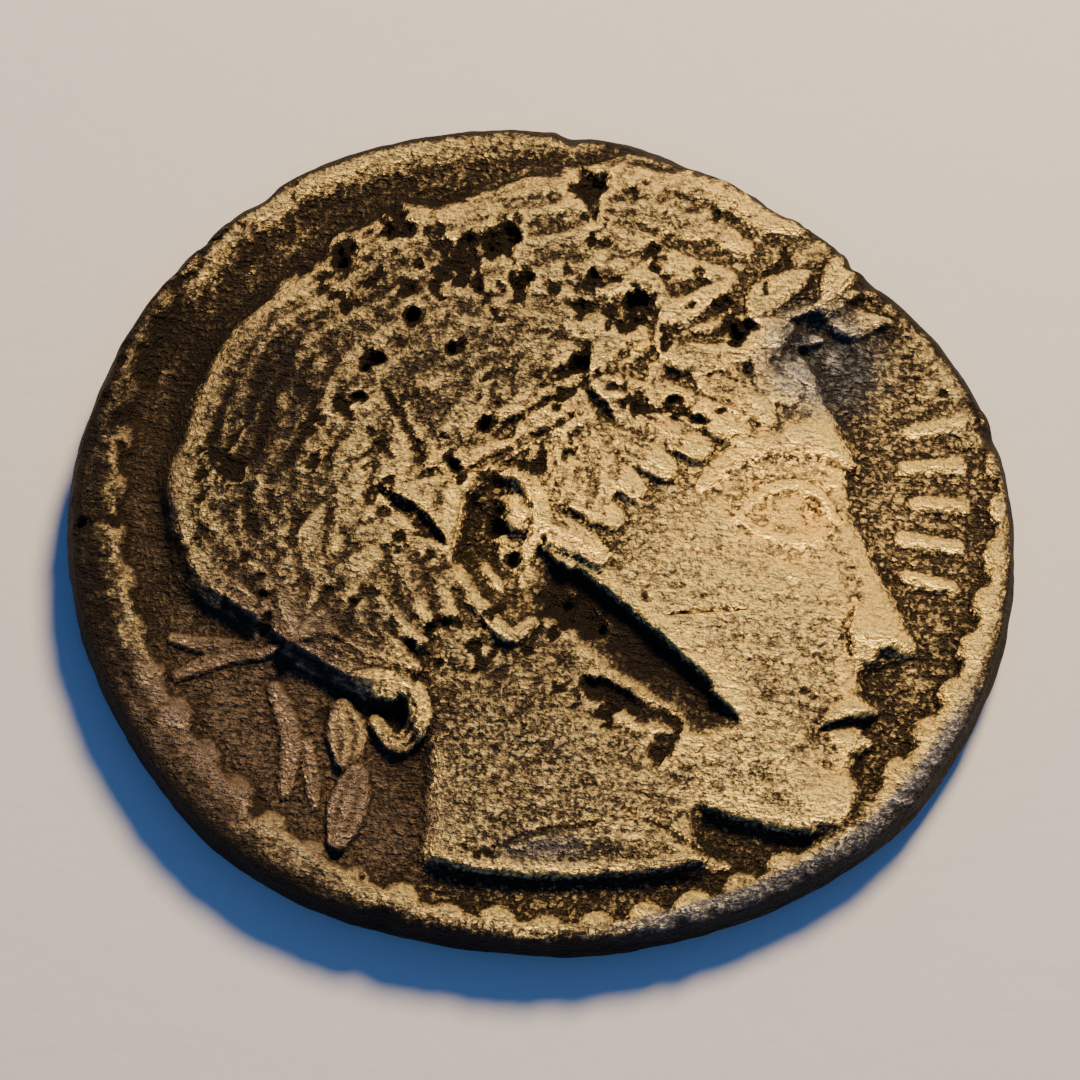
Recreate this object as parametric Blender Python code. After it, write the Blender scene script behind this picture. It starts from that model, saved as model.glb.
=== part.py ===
"""A struck silver coin: a laureate head in high relief on a hammered, out-of-round flan.

Metres, +Z up. The coin lies on its reverse, and the origin is under the middle of its outline.
The relief is a height over the coin's field, raised step by step with an engraver's tools:
a swelling for each mass, ridges and hollows for the features, and locks and leaves laid on top.
"""

import math

import bmesh
import bpy
import numpy as np

# The flan
FLAN_LENGTH = 0.0188
FLAN_WIDTH = 0.01672
FIELD_TOP = 0.00128
EDGE_ROUND = 0.00030
WIDE_EDGE_ROUND = 0.00036
WIDE_EDGE_DIRECTION = -80.0
WIDE_EDGE_SPREAD = 48.0
WALL_BULGE = 0.00010

# Hammered flats and bulges of the outline: direction and spread in degrees, and share of the radius
FLATS_AND_BULGES = (
    (49, 19, -0.064),
    (40, 2.4, -0.012),
    (123, 14, 0.022),
    (156, 16, -0.010),
    (201, 13, -0.013),
    (228, 9, 0.008),
    (258, 8, -0.010),
    (318, 13, 0.028),
    (345, 12, 0.010),
)

# The obverse die: struck off the flan's centre, with a ring of beads that runs off the far edge
DIE_CENTRE = (0.00040, 0.00090)
BEAD_RING = 0.00900
BEAD_PITCH = 0.00100
BEAD_WIDTH = 0.00098
BEAD_RISE = 0.00037
RIM_RISE = 0.00029
RIM_INSET = 0.00026
RIM_SLOPE = 0.00018

# The rim that the hammering raised along part of the edge, its direction and spread in degrees
EDGE_RIM_DIRECTION = 140.0
EDGE_RIM_SPREAD = 42.0
EDGE_RIM_WIDTH = 0.00055
EDGE_RIM_RISE = 0.00026

# The head, whose own points are in hundredths of its height from crown to chin
HEAD_HEIGHT = 0.01330
HEAD_CENTRE = (-0.00049, 0.00053)
NECK_RISE = 4.6
FACE_RISE = 5.4
HAIR_RISE = 6.2
LOCK_RISE = 1.7
LOCK_WIDTH = 6.6
CROWN_ROWS = 7
LEAF_LENGTH = 12.0
LEAF_WIDTH = 5.6
LEAF_RISE = 2.2
LEAF_PAIRS = 10
WORN_HEIGHT = 0.00100
WORN_SOFTNESS = 0.00010
WORN_PATCH = (-0.00190, 0.00150)
WORN_PATCH_REACH = 0.00230
WORN_PATCH_SINK = 0.00014

# The row of worn strokes before the face
STROKE_ROW_RADIUS = 0.00745
STROKE_LENGTH = 0.00105
STROKE_WIDTH = 0.00040
STROKE_RISE = 0.00016
STROKE_FROM = -15.0
STROKE_TO = 9.0
STROKE_COUNT = 5

# Old cuts and pits, in the coin's own frame
CUT_FLOOR_CURVE = 2.4
TEST_CUT = ((0.00070, -0.00100), (0.00195, -0.00205), (0.00325, -0.00325))
TEST_CUT_DEPTH = 0.00042
TEST_CUT_STEEP_SIDE = 0.00020
TEST_CUT_LONG_SIDE = 0.00102
HOOK_CUT = ((0.00120, -0.00316), (0.00205, -0.00360), (0.00272, -0.00398), (0.00252, -0.00452))
HOOK_CUT_DEPTH = 0.00022
HOOK_CUT_STEEP_SIDE = 0.00014
HOOK_CUT_LONG_SIDE = 0.00042
PIT_DEPTH = 0.00026
PITS = (
    ((-0.00245, 0.00615), 0.00042),
    ((-0.00370, 0.00545), 0.00040),
    ((-0.00078, 0.00580), 0.00040),
    ((-0.00045, 0.00475), 0.00034),
    ((0.00095, 0.00705), 0.00042),
    ((0.00240, 0.00530), 0.00034),
    ((0.00190, 0.00395), 0.00036),
    ((-0.00430, 0.00300), 0.00036),
)

# The reverse, whose rim carries the coin
REVERSE_CENTRE = (-0.00015, 0.00005)
REVERSE_FIELD = 0.00735
REVERSE_SINK = 0.00032
REVERSE_SLOPE = 0.00030
REVERSE_BEAD_RING = 0.00680
REVERSE_BEAD_RISE = 0.00016
FLATTENED_BELOW = 0.00002
REVERSE_UNIT = 0.0001
REVERSE_LEAST_SINK = 0.00006
VASE_RISE = 2.4
EAR_OF_CORN_PAIRS = 7
EXERGUE_STROKES = 7

# The mesh
FACE_CELLS = 140
WALL_CELLS = 5
TRIANGLES = 9400

# Outlines of the head's masses, and the wreath's stem, in hundredths of the head's height
PROFILE = (
    (43, 20), (46.5, 16.5), (49.3, 11.5), (50.8, 5.5), (50.7, 0.5), (53.2, -7), (57.2, -15),
    (60, -20.8), (59.6, -23.4), (55.4, -24.8), (52.4, -26.4), (52.6, -29.4), (54.2, -31.8),
    (52.4, -33.9), (53.4, -36.2), (51.2, -39.4), (51.9, -44.6), (49.2, -49.4), (43, -51.2),
)
JAW = ((34, -49.5), (22, -45.5), (11, -39), (3, -31), (-1, -20), (-4, -4), (4, 14), (24, 24))
NECK = (
    (35, -44), (30, -46), (28, -49), (29.5, -52.5), (33, -55), (24, -56.6), (8, -57.6),
    (-5, -57), (-13.4, -54.6), (-13.8, -47), (-14, -38), (-18, -29), (-18, -14), (0, -8), (22, -28),
)
BROW_HAIR = ((40, 16), (41.5, 23), (46.5, 27.8), (52.5, 31), (54, 38))
CROWN_HAIR = (
    (47, 45), (36, 50.5), (23, 53), (7, 51.6), (-8, 48.5), (-22, 44), (-35, 36), (-45, 24), (-51, 9),
    (-51.5, -3), (-48, -11.5), (-41, -18.2), (-33.5, -22.5), (-26, -28), (-19, -32),
)
EAR_HAIR = (
    (-13, -31), (-9.5, -24), (-9, -13), (-5, 2), (5, 5), (9, -7), (13, -8), (16, 3), (24, 9), (32, 13.5),
)
HAIRLINE = ((44, 19), (38, 15.5), (30, 11), (22, 6.5), (15, 1.5), (11, -7))
WREATH = ((55, 32.5), (42, 28.5), (28, 24.5), (13, 19.5), (-1, 13), (-13, 5), (-22, -4), (-28.5, -13), (-33, -21.5))
SKULL_MIDDLE = (-2, 6)


def smooth_step(value):
    """0 below 0, 1 above 1, and a smooth climb between."""
    share = np.clip(value, 0, 1)
    return share * share * (3 - 2 * share)


def curve(points, closed=False, steps=6):
    """A smooth line through the points, with this many steps from each to the next."""
    p = np.asarray(points, float)
    if closed:
        p = np.vstack((p[-1:], p, p[:2]))
    else:
        p = np.vstack((2 * p[0] - p[1], p, 2 * p[-1] - p[-2]))
    t = np.linspace(0, 1, steps, endpoint=False)[:, None]
    spans = []
    for a, b, c, d in zip(p[:-3], p[1:-2], p[2:-1], p[3:]):
        bend = (2 * a - 5 * b + 4 * c - d) * t**2 + (3 * b - 3 * c + d - a) * t**3
        spans.append(0.5 * (2 * b + (c - a) * t + bend))
    line = np.vstack(spans)
    return np.vstack((line, line[:1] if closed else p[-2:-1]))


def point_on(line, share):
    """The point this share of the way through a line's points."""
    place = np.clip(share, 0, 1) * (len(line) - 1)
    first = min(int(place), len(line) - 2)
    return line[first] + (line[first + 1] - line[first]) * (place - first)


def nearest(at, line):
    """Each point's distance from the line, how far along it that is, 0 to 1, and the side, -1 or 1."""
    best = np.full(len(at), np.inf)
    along = np.zeros(len(at))
    side = np.ones(len(at))
    walked = 0.0
    for start, move in zip(line[:-1], np.diff(line, axis=0)):
        length = math.hypot(*move)
        reach = at - start
        share = np.clip(reach @ move / length**2, 0, 1)
        gap = np.hypot(*(reach - share[:, None] * move).T)
        closer = gap < best
        best[closer] = gap[closer]
        along[closer] = walked + share[closer] * length
        side[closer] = np.sign(move[0] * reach[closer, 1] - move[1] * reach[closer, 0])
        walked += length
    return best, along / walked, side


def inside(at, outline):
    """True for the points that the closed outline goes round."""
    found = np.zeros(len(at), bool)
    for (x0, y0), (x1, y1) in zip(outline[:-1], outline[1:]):
        if y0 != y1:
            crosses = (y0 > at[:, 1]) != (y1 > at[:, 1])
            found ^= crosses & (at[:, 0] < x0 + (at[:, 1] - y0) * (x1 - x0) / (y1 - y0))
    return found


class Relief:
    """Heights over a field, at many points. Lengths and heights are in units of one size, from an origin."""

    def __init__(self, at, unit=1.0, origin=(0, 0)):
        self.at = (at - np.asarray(origin)) / unit
        self.unit = unit
        self.height = np.zeros(len(at))
        self.ground = self.height.copy()

    def near(self, line, reach):
        low, high = line.min(0) - reach, line.max(0) + reach
        return np.flatnonzero(((self.at >= low) & (self.at <= high)).all(1))

    def swell(self, outline, *rises):
        """Raises what a closed outline holds, by each rise within its own run from the edge."""
        line = curve(outline, closed=True)
        near = self.near(line, 0)
        near = near[inside(self.at[near], line)]
        depth = nearest(self.at[near], line)[0]
        lift = sum(rise * np.sin(math.pi / 2 * np.clip(depth / run, 0, 1)) for rise, run in rises)
        self.height[near] = np.maximum(self.height[near], lift)

    def ridge(self, points, width, rise, ends=1.0):
        """Adds a rounded ridge, or with a negative rise a groove. ends is its width there, as a share."""
        line = curve(points)
        near = self.near(line, width)
        gap, along, _ = nearest(self.at[near], line)
        half = width / 2 * (ends + (1 - ends) * np.sin(np.pi * along) ** 0.7)
        self.height[near] += rise * np.clip(1 - (gap / half) ** 2, 0, 1)

    def bump(self, centre, size, rise, turn=0.0):
        """Adds a soft oval bump, or with a negative rise a hollow. size is its half-length and half-width."""
        near = self.near(np.array([centre], float), 2.4 * max(size))
        x, y = (self.at[near] - centre).T
        c, s = math.cos(math.radians(turn)), math.sin(math.radians(turn))
        away = ((c * x + s * y) / size[0]) ** 2 + ((c * y - s * x) / size[1]) ** 2
        self.height[near] += rise * np.exp(-away)

    def lay(self, points, width, rise, form):
        """Lays a lock, leaf or ribbon on the ground: its rounded top replaces what else lies there."""
        line = curve(points)
        near = self.near(line, width)
        gap, along, _ = nearest(self.at[near], line)
        across = np.clip(gap / np.maximum(width / 2 * form(along), 1e-6), 0, 1)
        top = self.ground[near] + rise * np.sqrt(1 - across**2)
        covered = smooth_step((1 - across) / 0.22)
        self.height[near] += (top - self.height[near]) * covered

    def cut(self, points, depth, steep_side, long_side):
        """Sinks a cut with a steep wall on its left and a long floor that curves up on its right."""
        line = curve(points)
        near = self.near(line, max(steep_side, long_side))
        gap, _, side = nearest(self.at[near], line)
        share = np.clip(gap / np.where(side > 0, steep_side, long_side), 0, 1)
        self.height[near] -= depth * (1 - share ** np.where(side > 0, 1.0, CUT_FLOOR_CURVE))


def lock_form(along):
    return 0.35 + 0.65 * np.sin(np.pi * np.clip(0.12 + 0.8 * along, 0, 1)) ** 0.8


def leaf_form(along):
    return np.sin(np.pi * np.clip(along, 0, 1) ** 0.85) ** 0.75


def add_masses(relief):
    relief.swell(NECK, (0.60 * NECK_RISE, 3.6), (0.40 * NECK_RISE, 16))
    relief.swell(PROFILE + JAW, (0.55 * FACE_RISE, 3.2), (0.45 * FACE_RISE, 22))
    relief.swell(BROW_HAIR + CROWN_HAIR + EAR_HAIR, (0.45 * HAIR_RISE, 4.2), (0.55 * HAIR_RISE, 34))


def add_neck(relief):
    relief.bump((9, -39), (19, 5.5), 0.9, turn=-52)
    relief.bump((-8, -42), (6, 13), 0.5)
    relief.ridge(((-11.5, -53.2), (-4, -55), (8, -55.6), (20, -55), (28, -53.6)), 3.0, 0.7, ends=0.5)


def add_cheek_and_jaw(relief):
    relief.bump((31, -17), (14, 12), 1.1)
    relief.bump((20, -33), (13, 8), 0.5, turn=-30)
    relief.bump((30, 4), (8, 6), -0.4)


def add_eye(relief):
    relief.bump((42, -1), (9, 6), -2.2)
    relief.ridge(((51, 5.5), (46.5, 8.6), (40, 9.2), (33, 6.8), (28, 2)), 5.5, 1.3, ends=0.4)
    relief.bump((42.2, -2.3), (5.4, 4.0), 2.0)
    relief.bump((44.2, -1.9), (1.7, 1.9), -1.5)
    relief.ridge(((48.2, -3.4), (46, 0.2), (42, 2.2), (37, 0.9), (33, -3.2)), 2.2, 1.15, ends=0.5)
    relief.ridge(((47.2, -4.6), (44, -6.4), (39, -6.2), (33.5, -3.6)), 2.0, 0.8, ends=0.5)


def add_nose(relief):
    relief.ridge(((47.5, 1), (49, -7), (50.5, -15)), 6, -0.7, ends=0.5)
    relief.bump((53.2, -20.4), (3.9, 3.0), 1.3)
    relief.ridge(((50.4, -16.6), (49, -20), (49.8, -23.8)), 2.0, -1.2, ends=0.4)
    relief.bump((55.2, -23.2), (2.0, 0.9), -1.1, turn=12)


def add_mouth_and_chin(relief):
    relief.ridge(((54.5, -33.9), (50, -33.6), (45.5, -34.6)), 1.9, -1.4, ends=0.5)
    relief.ridge(((53.8, -31.6), (50, -31.2), (46, -33.2)), 3.6, 0.9, ends=0.3)
    relief.ridge(((53, -36.4), (49.8, -36.8), (46.4, -35.6)), 3.8, 1.0, ends=0.3)
    relief.bump((44.6, -35), (1.6, 1.6), -0.8)
    relief.ridge(((51.8, -40.2), (49, -40.8), (45.5, -39.8)), 3.0, -0.6, ends=0.5)
    relief.bump((47, -45.2), (5.2, 4.4), 1.1)


def add_ear(relief):
    rim = ((1.5, -9), (4.2, -3), (1.6, 2.6), (-4.2, 3.8), (-8.6, -1), (-8.4, -9), (-4.6, -16.5), (-0.6, -21), (2.6, -19))
    relief.bump((-2.2, -9), (6.5, 11), -0.9, turn=-12)
    relief.ridge(rim, 3.4, 1.9, ends=0.8)
    relief.ridge(((-4.8, -1), (-4.8, -8), (-2, -13.5)), 2.6, 1.1, ends=0.5)
    relief.bump((-0.4, -8.4), (2.2, 4.6), -1.0)
    relief.bump((3, -11.5), (1.8, 2.2), 1.0)
    relief.bump((0.2, -18.6), (2.6, 3.0), 1.1)


def crown_point(share, depth):
    """A point in the hair, this share of the way from brow to nape and this deep towards the skull's middle."""
    edge = point_on(curve(CROWN_HAIR), share)
    return edge + (np.array(SKULL_MIDDLE) - edge) * depth


def above_wreath(point):
    x, y = np.array(WREATH[::-1], float).T
    return point[1] > np.interp(point[0], x, y) + 1


def add_crown_locks(relief):
    """Long waved locks that follow the crown from brow to nape, row within row."""
    for row in reversed(range(CROWN_ROWS)):
        count = 9 - row
        for number in reversed(range(count)):
            start = (number - 0.5 * (row % 2)) / count
            shares = np.linspace(start, start + 1.8 / count, 9)
            shares = shares[(shares >= 0) & (shares <= 1)]
            sway = 0.024 * np.sin(2 * math.pi * (shares - start) * count / 1.8)
            points = [crown_point(share, 0.055 + 0.125 * row + swing) for share, swing in zip(shares, sway)]
            if len(points) > 3 and above_wreath(points[len(points) // 2]):
                relief.lay(points, LOCK_WIDTH - 0.2 * row, LOCK_RISE, lock_form)


def add_nape_locks(relief):
    """Locks drawn down behind the ear, the hair rolled up along the nape, and a curl that hangs from it."""
    stem = curve(WREATH)
    for t in np.linspace(0, 1, 5):
        top = point_on(stem, 0.60 + 0.32 * t) + (2, -1)
        foot = np.array((-9.5 - 8 * t, -17 - 10 * t))
        relief.lay((top, (top + foot) / 2 + (-2, -1.5), foot), 5.4, LOCK_RISE, lock_form)
    relief.lay(((-47, -9), (-42, -15), (-34, -20.5), (-26, -25.5), (-18, -29)), 6.4, 2.0, lock_form)
    relief.lay(((-45, -2), (-38, -11), (-31, -17), (-24, -22), (-15, -25.5)), 5.8, 1.9, lock_form)
    relief.lay(((-23, -27), (-16, -28), (-13.8, -32.5), (-17, -36.5), (-20.5, -33)), 4.4, 2.4, lock_form)


def add_brow_locks(relief):
    """Short locks combed back from the brow, the temple and over the ear."""
    hairline, stem = curve(HAIRLINE), curve(WREATH)
    for t in np.linspace(1, 0, 9):
        root = point_on(hairline, t)
        top = point_on(stem, 0.12 + 0.46 * t) + (0, -3.5)
        middle = (root + top) / 2 + np.array((-3.5, 1.0)) * (1 - 0.3 * t)
        relief.lay((root + (1.5, -1.8), root + (-1.8, 0.6), middle, top), 6.4, LOCK_RISE + 0.2, lock_form)
    for t in np.linspace(0, 1, 5):
        top = point_on(stem, 0.40 + 0.17 * t) + (0, -3)
        foot = np.array((12 - 20 * t, 9 * t - 3))
        relief.lay((top, (top + foot) / 2 + (2.4, -1.0), foot), 5.4, LOCK_RISE, lock_form)
    for t in np.linspace(0.06, 0.92, 7):
        relief.bump(point_on(hairline, t) + (0.6, -0.2), (2.0, 2.0), 0.9)


def add_wreath(relief):
    stem = curve(WREATH)
    relief.ridge(WREATH, 2.2, 1.2)
    for t in np.linspace(0.02, 0.92, LEAF_PAIRS):
        root = point_on(stem, t + 0.075)
        ahead = point_on(stem, t) - root
        ahead = ahead / math.hypot(*ahead)
        aside = np.array((-ahead[1], ahead[0]))
        for hand in (-1, 1):
            middle = root + (0.46 * ahead + 0.32 * hand * aside) * LEAF_LENGTH
            tip = root + (ahead + 0.45 * hand * aside) * LEAF_LENGTH
            relief.lay((root, middle, tip), LEAF_WIDTH, LEAF_RISE, leaf_form)


def add_ties(relief):
    """The wreath's knot and ribbon ends, and the loose locks and knobs that hang behind the neck."""
    relief.ground = np.zeros_like(relief.ground)
    relief.lay(((-35, -22), (-41, -22.2), (-50.4, -20.4)), 3.4, 1.3, lock_form)
    relief.lay(((-36, -22.4), (-42.4, -23), (-50, -26)), 3.2, 1.3, lock_form)
    relief.lay(((-35.4, -28), (-32.9, -35), (-33.6, -43.5)), 3.8, 1.4, lock_form)
    relief.lay(((-30.4, -36), (-30, -40), (-29.2, -45.4)), 2.8, 1.2, lock_form)
    relief.lay(((-24.4, -36), (-23.2, -40), (-23.6, -43)), 3.0, 1.2, lock_form)
    relief.lay(((-25.4, -31.4), (-24.6, -35.2), (-24.8, -38.6)), 7.2, 2.4, lock_form)
    relief.lay(((-23.2, -41.2), (-24.2, -45), (-25.8, -50.6)), 7.0, 2.6, lock_form)
    relief.bump((-34, -22), (3.2, 2.6), 1.8)


def head_relief(at):
    relief = Relief(at, HEAD_HEIGHT / 100, HEAD_CENTRE)
    add_masses(relief)
    add_neck(relief)
    add_cheek_and_jaw(relief)
    add_eye(relief)
    add_nose(relief)
    add_mouth_and_chin(relief)
    add_ear(relief)
    relief.ground = relief.height.copy()
    add_crown_locks(relief)
    add_nape_locks(relief)
    add_brow_locks(relief)
    add_wreath(relief)
    add_ties(relief)
    return relief.height * relief.unit


def bead_ring(at, centre, ring, rise):
    """A ring of round beads, and each point's distance from the ring's centre."""
    x, y = (at - centre).T
    radius = np.hypot(x, y)
    beads = round(2 * math.pi * ring / BEAD_PITCH)
    along = (np.arctan2(y, x) / (2 * math.pi) * beads) % 1 - 0.5
    away = np.hypot(along * BEAD_PITCH, radius - ring) / (BEAD_WIDTH / 2)
    return rise * np.sqrt(np.clip(1 - away**2, 0, 1)), radius


def border_relief(at):
    """The obverse's ring of beads, worn into the rim outside it."""
    beads, radius = bead_ring(at, DIE_CENTRE, BEAD_RING, BEAD_RISE)
    return np.maximum(beads, RIM_RISE * smooth_step((radius - BEAD_RING + RIM_INSET) / RIM_SLOPE + 0.5))


def stroke_relief(at):
    """Short worn strokes in a row, each a bar that points to the die's centre, with a dot after every other."""
    relief = Relief(at, 1.0, DIE_CENTRE)
    for number, degrees in enumerate(np.linspace(STROKE_FROM, STROKE_TO, STROKE_COUNT)):
        out = np.array((math.cos(math.radians(degrees)), math.sin(math.radians(degrees))))
        half = out * STROKE_LENGTH / 2 * (1.0 if number % 2 else 0.6)
        middle = out * STROKE_ROW_RADIUS
        relief.ridge((middle - half, middle, middle + half), STROKE_WIDTH, STROKE_RISE)
        if number % 2 == 0:
            relief.bump(middle + out * STROKE_LENGTH * 0.55, (STROKE_WIDTH * 0.4, STROKE_WIDTH * 0.4), STROKE_RISE)
    return relief.height


def wear_down(height, at):
    """Rubs off what stands above the worn height, which is lowest on the hair over the ear."""
    away = ((at - WORN_PATCH) ** 2).sum(1) / WORN_PATCH_REACH**2
    over = (height - WORN_HEIGHT + WORN_PATCH_SINK * np.exp(-away)) / WORN_SOFTNESS
    return height - WORN_SOFTNESS * np.log1p(np.exp(np.clip(over, -30, 30)))


def edge_rim(at, from_edge):
    """The rim that the hammering raised along part of the flan's edge."""
    away = (np.degrees(np.arctan2(at[:, 1], at[:, 0])) - EDGE_RIM_DIRECTION + 180) % 360 - 180
    return EDGE_RIM_RISE * smooth_step(1.6 - from_edge / EDGE_RIM_WIDTH) * np.exp(-((away / EDGE_RIM_SPREAD) ** 4))


def obverse_height(at, from_edge):
    relief = Relief(at)
    field = border_relief(at) + stroke_relief(at) + edge_rim(at, from_edge)
    relief.height = wear_down(np.maximum(field, head_relief(at)), at)
    relief.cut(TEST_CUT, TEST_CUT_DEPTH, TEST_CUT_STEEP_SIDE, TEST_CUT_LONG_SIDE)
    relief.cut(HOOK_CUT, HOOK_CUT_DEPTH, HOOK_CUT_STEEP_SIDE, HOOK_CUT_LONG_SIDE)
    for centre, radius in PITS:
        relief.bump(centre, (radius, radius), -PIT_DEPTH)
    return relief.height


def add_vase(relief):
    half = ((6, -29), (4.5, -25), (13, -15), (17, -3), (13.5, 8), (6.5, 13), (5, 21), (9, 26))
    mirrored = tuple((-x, y) for x, y in reversed(half))
    relief.swell(half + mirrored, (0.5 * VASE_RISE, 2.5), (0.5 * VASE_RISE, 14))
    for hand in (-1, 1):
        relief.ridge(((hand * 7, 22), (hand * 17, 20), (hand * 19, 12), (hand * 14, 6)), 3.0, 1.4)


def add_ears_of_corn(relief):
    for hand in (-1, 1):
        relief.ridge(((hand * 33, -32), (hand * 37, -10), (hand * 38, 20)), 2.2, 1.2)
        for y in np.linspace(-4, 24, EAR_OF_CORN_PAIRS):
            for lean in (-1, 1):
                root = np.array((hand * 37.5, y))
                tip = root + (lean * 6.5, 7.5)
                relief.lay((root, (root + tip) / 2 + (lean, -1), tip), 4.0, 1.6, leaf_form)


def add_exergue(relief):
    relief.ridge(((-46, -35), (0, -35.6), (46, -35)), 2.0, 1.2)
    for x in np.linspace(-24, 24, EXERGUE_STROKES):
        relief.ridge(((x, -41), (x, -44), (x, -47 - 2 * (abs(x) < 10))), 2.6, 1.2)


def reverse_sink(at):
    """How far the reverse lies in from the rim that the coin rests on."""
    beads, radius = bead_ring(at, REVERSE_CENTRE, REVERSE_BEAD_RING, REVERSE_BEAD_RISE)
    sink = REVERSE_SINK * smooth_step((REVERSE_FIELD - radius) / REVERSE_SLOPE)
    relief = Relief(at, REVERSE_UNIT, REVERSE_CENTRE)
    add_vase(relief)
    add_ears_of_corn(relief)
    add_exergue(relief)
    raised = np.maximum(relief.height * relief.unit, beads)
    return np.maximum(sink - raised, np.minimum(sink, REVERSE_LEAST_SINK))


def flan_radius(direction):
    """The outline's distance from the middle: an oval with the hammer's flats and bulges."""
    across, up = FLAN_LENGTH / 2, FLAN_WIDTH / 2
    radius = across * up / np.hypot(up * np.cos(direction), across * np.sin(direction))
    for middle, spread, share in FLATS_AND_BULGES:
        away = (np.degrees(direction) - middle + 180) % 360 - 180
        radius = radius * (1 + share * np.exp(-0.5 * (away / spread) ** 2))
    return radius


def edge_drop(from_edge, run):
    """How far a rounded edge of this size lies under the face beside it."""
    return run * (1 - np.sqrt(1 - (1 - np.clip(from_edge / run, 0, 1)) ** 2))


def struck(box):
    """Where each point of a box of 2 by 2 by 2 goes in the coin: squares about its axis become ovals."""
    u, v, level = box.T
    wide = np.abs(u) >= np.abs(v)
    side = np.where(wide, u, v)
    slant = np.where(wide, v, u) / np.where(side == 0, 1, side)
    turn = np.where(wide, slant, 2 - slant) * math.pi / 4
    direction = np.arctan2(side * np.sin(turn), side * np.cos(turn))
    reach = flan_radius(direction)
    share = np.abs(side)
    bulge = WALL_BULGE * np.cos(level * math.pi / 2)
    radius = reach * share + bulge * (share > 1 - 1e-6)
    at = np.column_stack((radius * np.cos(direction), radius * np.sin(direction)))
    away = (np.degrees(direction) - WIDE_EDGE_DIRECTION + 180) % 360 - 180
    wide_round = EDGE_ROUND + WIDE_EDGE_ROUND * np.exp(-0.5 * (away / WIDE_EDGE_SPREAD) ** 2)
    from_edge = reach * (1 - share)
    top = FIELD_TOP + obverse_height(at, from_edge) - edge_drop(from_edge, wide_round)
    foot = reverse_sink(at) + edge_drop(from_edge, EDGE_ROUND)
    return np.column_stack((at, foot + (top - foot) * (level + 1) / 2))


def fine_box():
    """A box of 2 by 2 by 2 with a grid of cells on each side."""
    box = bmesh.new()
    bmesh.ops.create_cube(box, size=2)
    for axis, cells in enumerate((FACE_CELLS, FACE_CELLS, WALL_CELLS)):
        edges = [e for e in box.edges if abs(e.verts[0].co[axis] - e.verts[1].co[axis]) > 1e-4]
        bmesh.ops.subdivide_edges(box, edges=edges, cuts=cells - 1, use_grid_fill=True)
    bmesh.ops.triangulate(box, faces=box.faces)
    return box


def silver():
    material = bpy.data.materials.new("toned silver")
    material.use_nodes = True
    shader = material.node_tree.nodes["Principled BSDF"]
    shader.inputs["Base Color"].default_value = (0.42, 0.33, 0.19, 1)
    shader.inputs["Metallic"].default_value = 0.9
    shader.inputs["Roughness"].default_value = 0.42
    return material


def make_coin(collection):
    box = fine_box()
    mesh = bpy.data.meshes.new("coin")
    box.to_mesh(mesh)
    box.free()
    points = np.empty(len(mesh.vertices) * 3)
    mesh.vertices.foreach_get("co", points)
    points = struck(points.reshape(-1, 3))
    points[:, :2] -= (points[:, :2].min(0) + points[:, :2].max(0)) / 2
    mesh.vertices.foreach_set("co", points.ravel())
    mesh.materials.append(silver())
    mesh.shade_smooth()
    coin = bpy.data.objects.new("coin", mesh)
    collection.objects.link(coin)
    thin = coin.modifiers.new("fewer faces on plain metal", "DECIMATE")
    thin.ratio = min(1.0, TRIANGLES / len(mesh.polygons))
    flatten_foot(coin)
    return coin


def flatten_foot(coin):
    """Makes the reverse's rim one true plane, so that the coin lies still."""
    evaluated = coin.evaluated_get(bpy.context.evaluated_depsgraph_get())
    mesh = bpy.data.meshes.new_from_object(evaluated)
    coin.modifiers.clear()
    coin.data = mesh
    for vertex in mesh.vertices:
        if vertex.co.z < FLATTENED_BELOW:
            vertex.co.z = 0.0


def main():
    for old in list(bpy.data.objects):
        bpy.data.objects.remove(old)
    collection = bpy.data.collections.new("struck coin")
    bpy.context.scene.collection.children.link(collection)
    make_coin(collection)


main()
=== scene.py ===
import math

import bpy
import numpy as np
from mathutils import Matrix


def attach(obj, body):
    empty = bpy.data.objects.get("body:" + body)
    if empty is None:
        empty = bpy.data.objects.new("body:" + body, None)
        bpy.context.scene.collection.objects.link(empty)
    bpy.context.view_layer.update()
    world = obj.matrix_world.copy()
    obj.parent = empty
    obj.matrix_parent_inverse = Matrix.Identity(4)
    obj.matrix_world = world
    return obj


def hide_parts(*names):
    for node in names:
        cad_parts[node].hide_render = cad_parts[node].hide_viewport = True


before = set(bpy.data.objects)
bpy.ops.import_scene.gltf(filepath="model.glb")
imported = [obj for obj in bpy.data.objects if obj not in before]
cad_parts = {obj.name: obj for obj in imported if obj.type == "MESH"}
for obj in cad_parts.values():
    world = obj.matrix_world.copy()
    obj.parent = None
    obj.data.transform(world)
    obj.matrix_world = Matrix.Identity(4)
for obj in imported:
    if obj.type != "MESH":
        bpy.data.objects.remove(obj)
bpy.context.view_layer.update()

# The flan
FLAN_LENGTH = 0.0188
FLAN_WIDTH = 0.01672
FIELD_TOP = 0.00128
EDGE_ROUND = 0.00030
WIDE_EDGE_ROUND = 0.00036
WIDE_EDGE_DIRECTION = -80.0
WIDE_EDGE_SPREAD = 48.0
WALL_BULGE = 0.00010

# Hammered flats and bulges of the outline: direction and spread in degrees, and share of the radius
FLATS_AND_BULGES = (
    (49, 19, -0.064),
    (40, 2.4, -0.012),
    (123, 14, 0.022),
    (156, 16, -0.010),
    (201, 13, -0.013),
    (228, 9, 0.008),
    (258, 8, -0.010),
    (318, 13, 0.028),
    (345, 12, 0.010),
)

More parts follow.
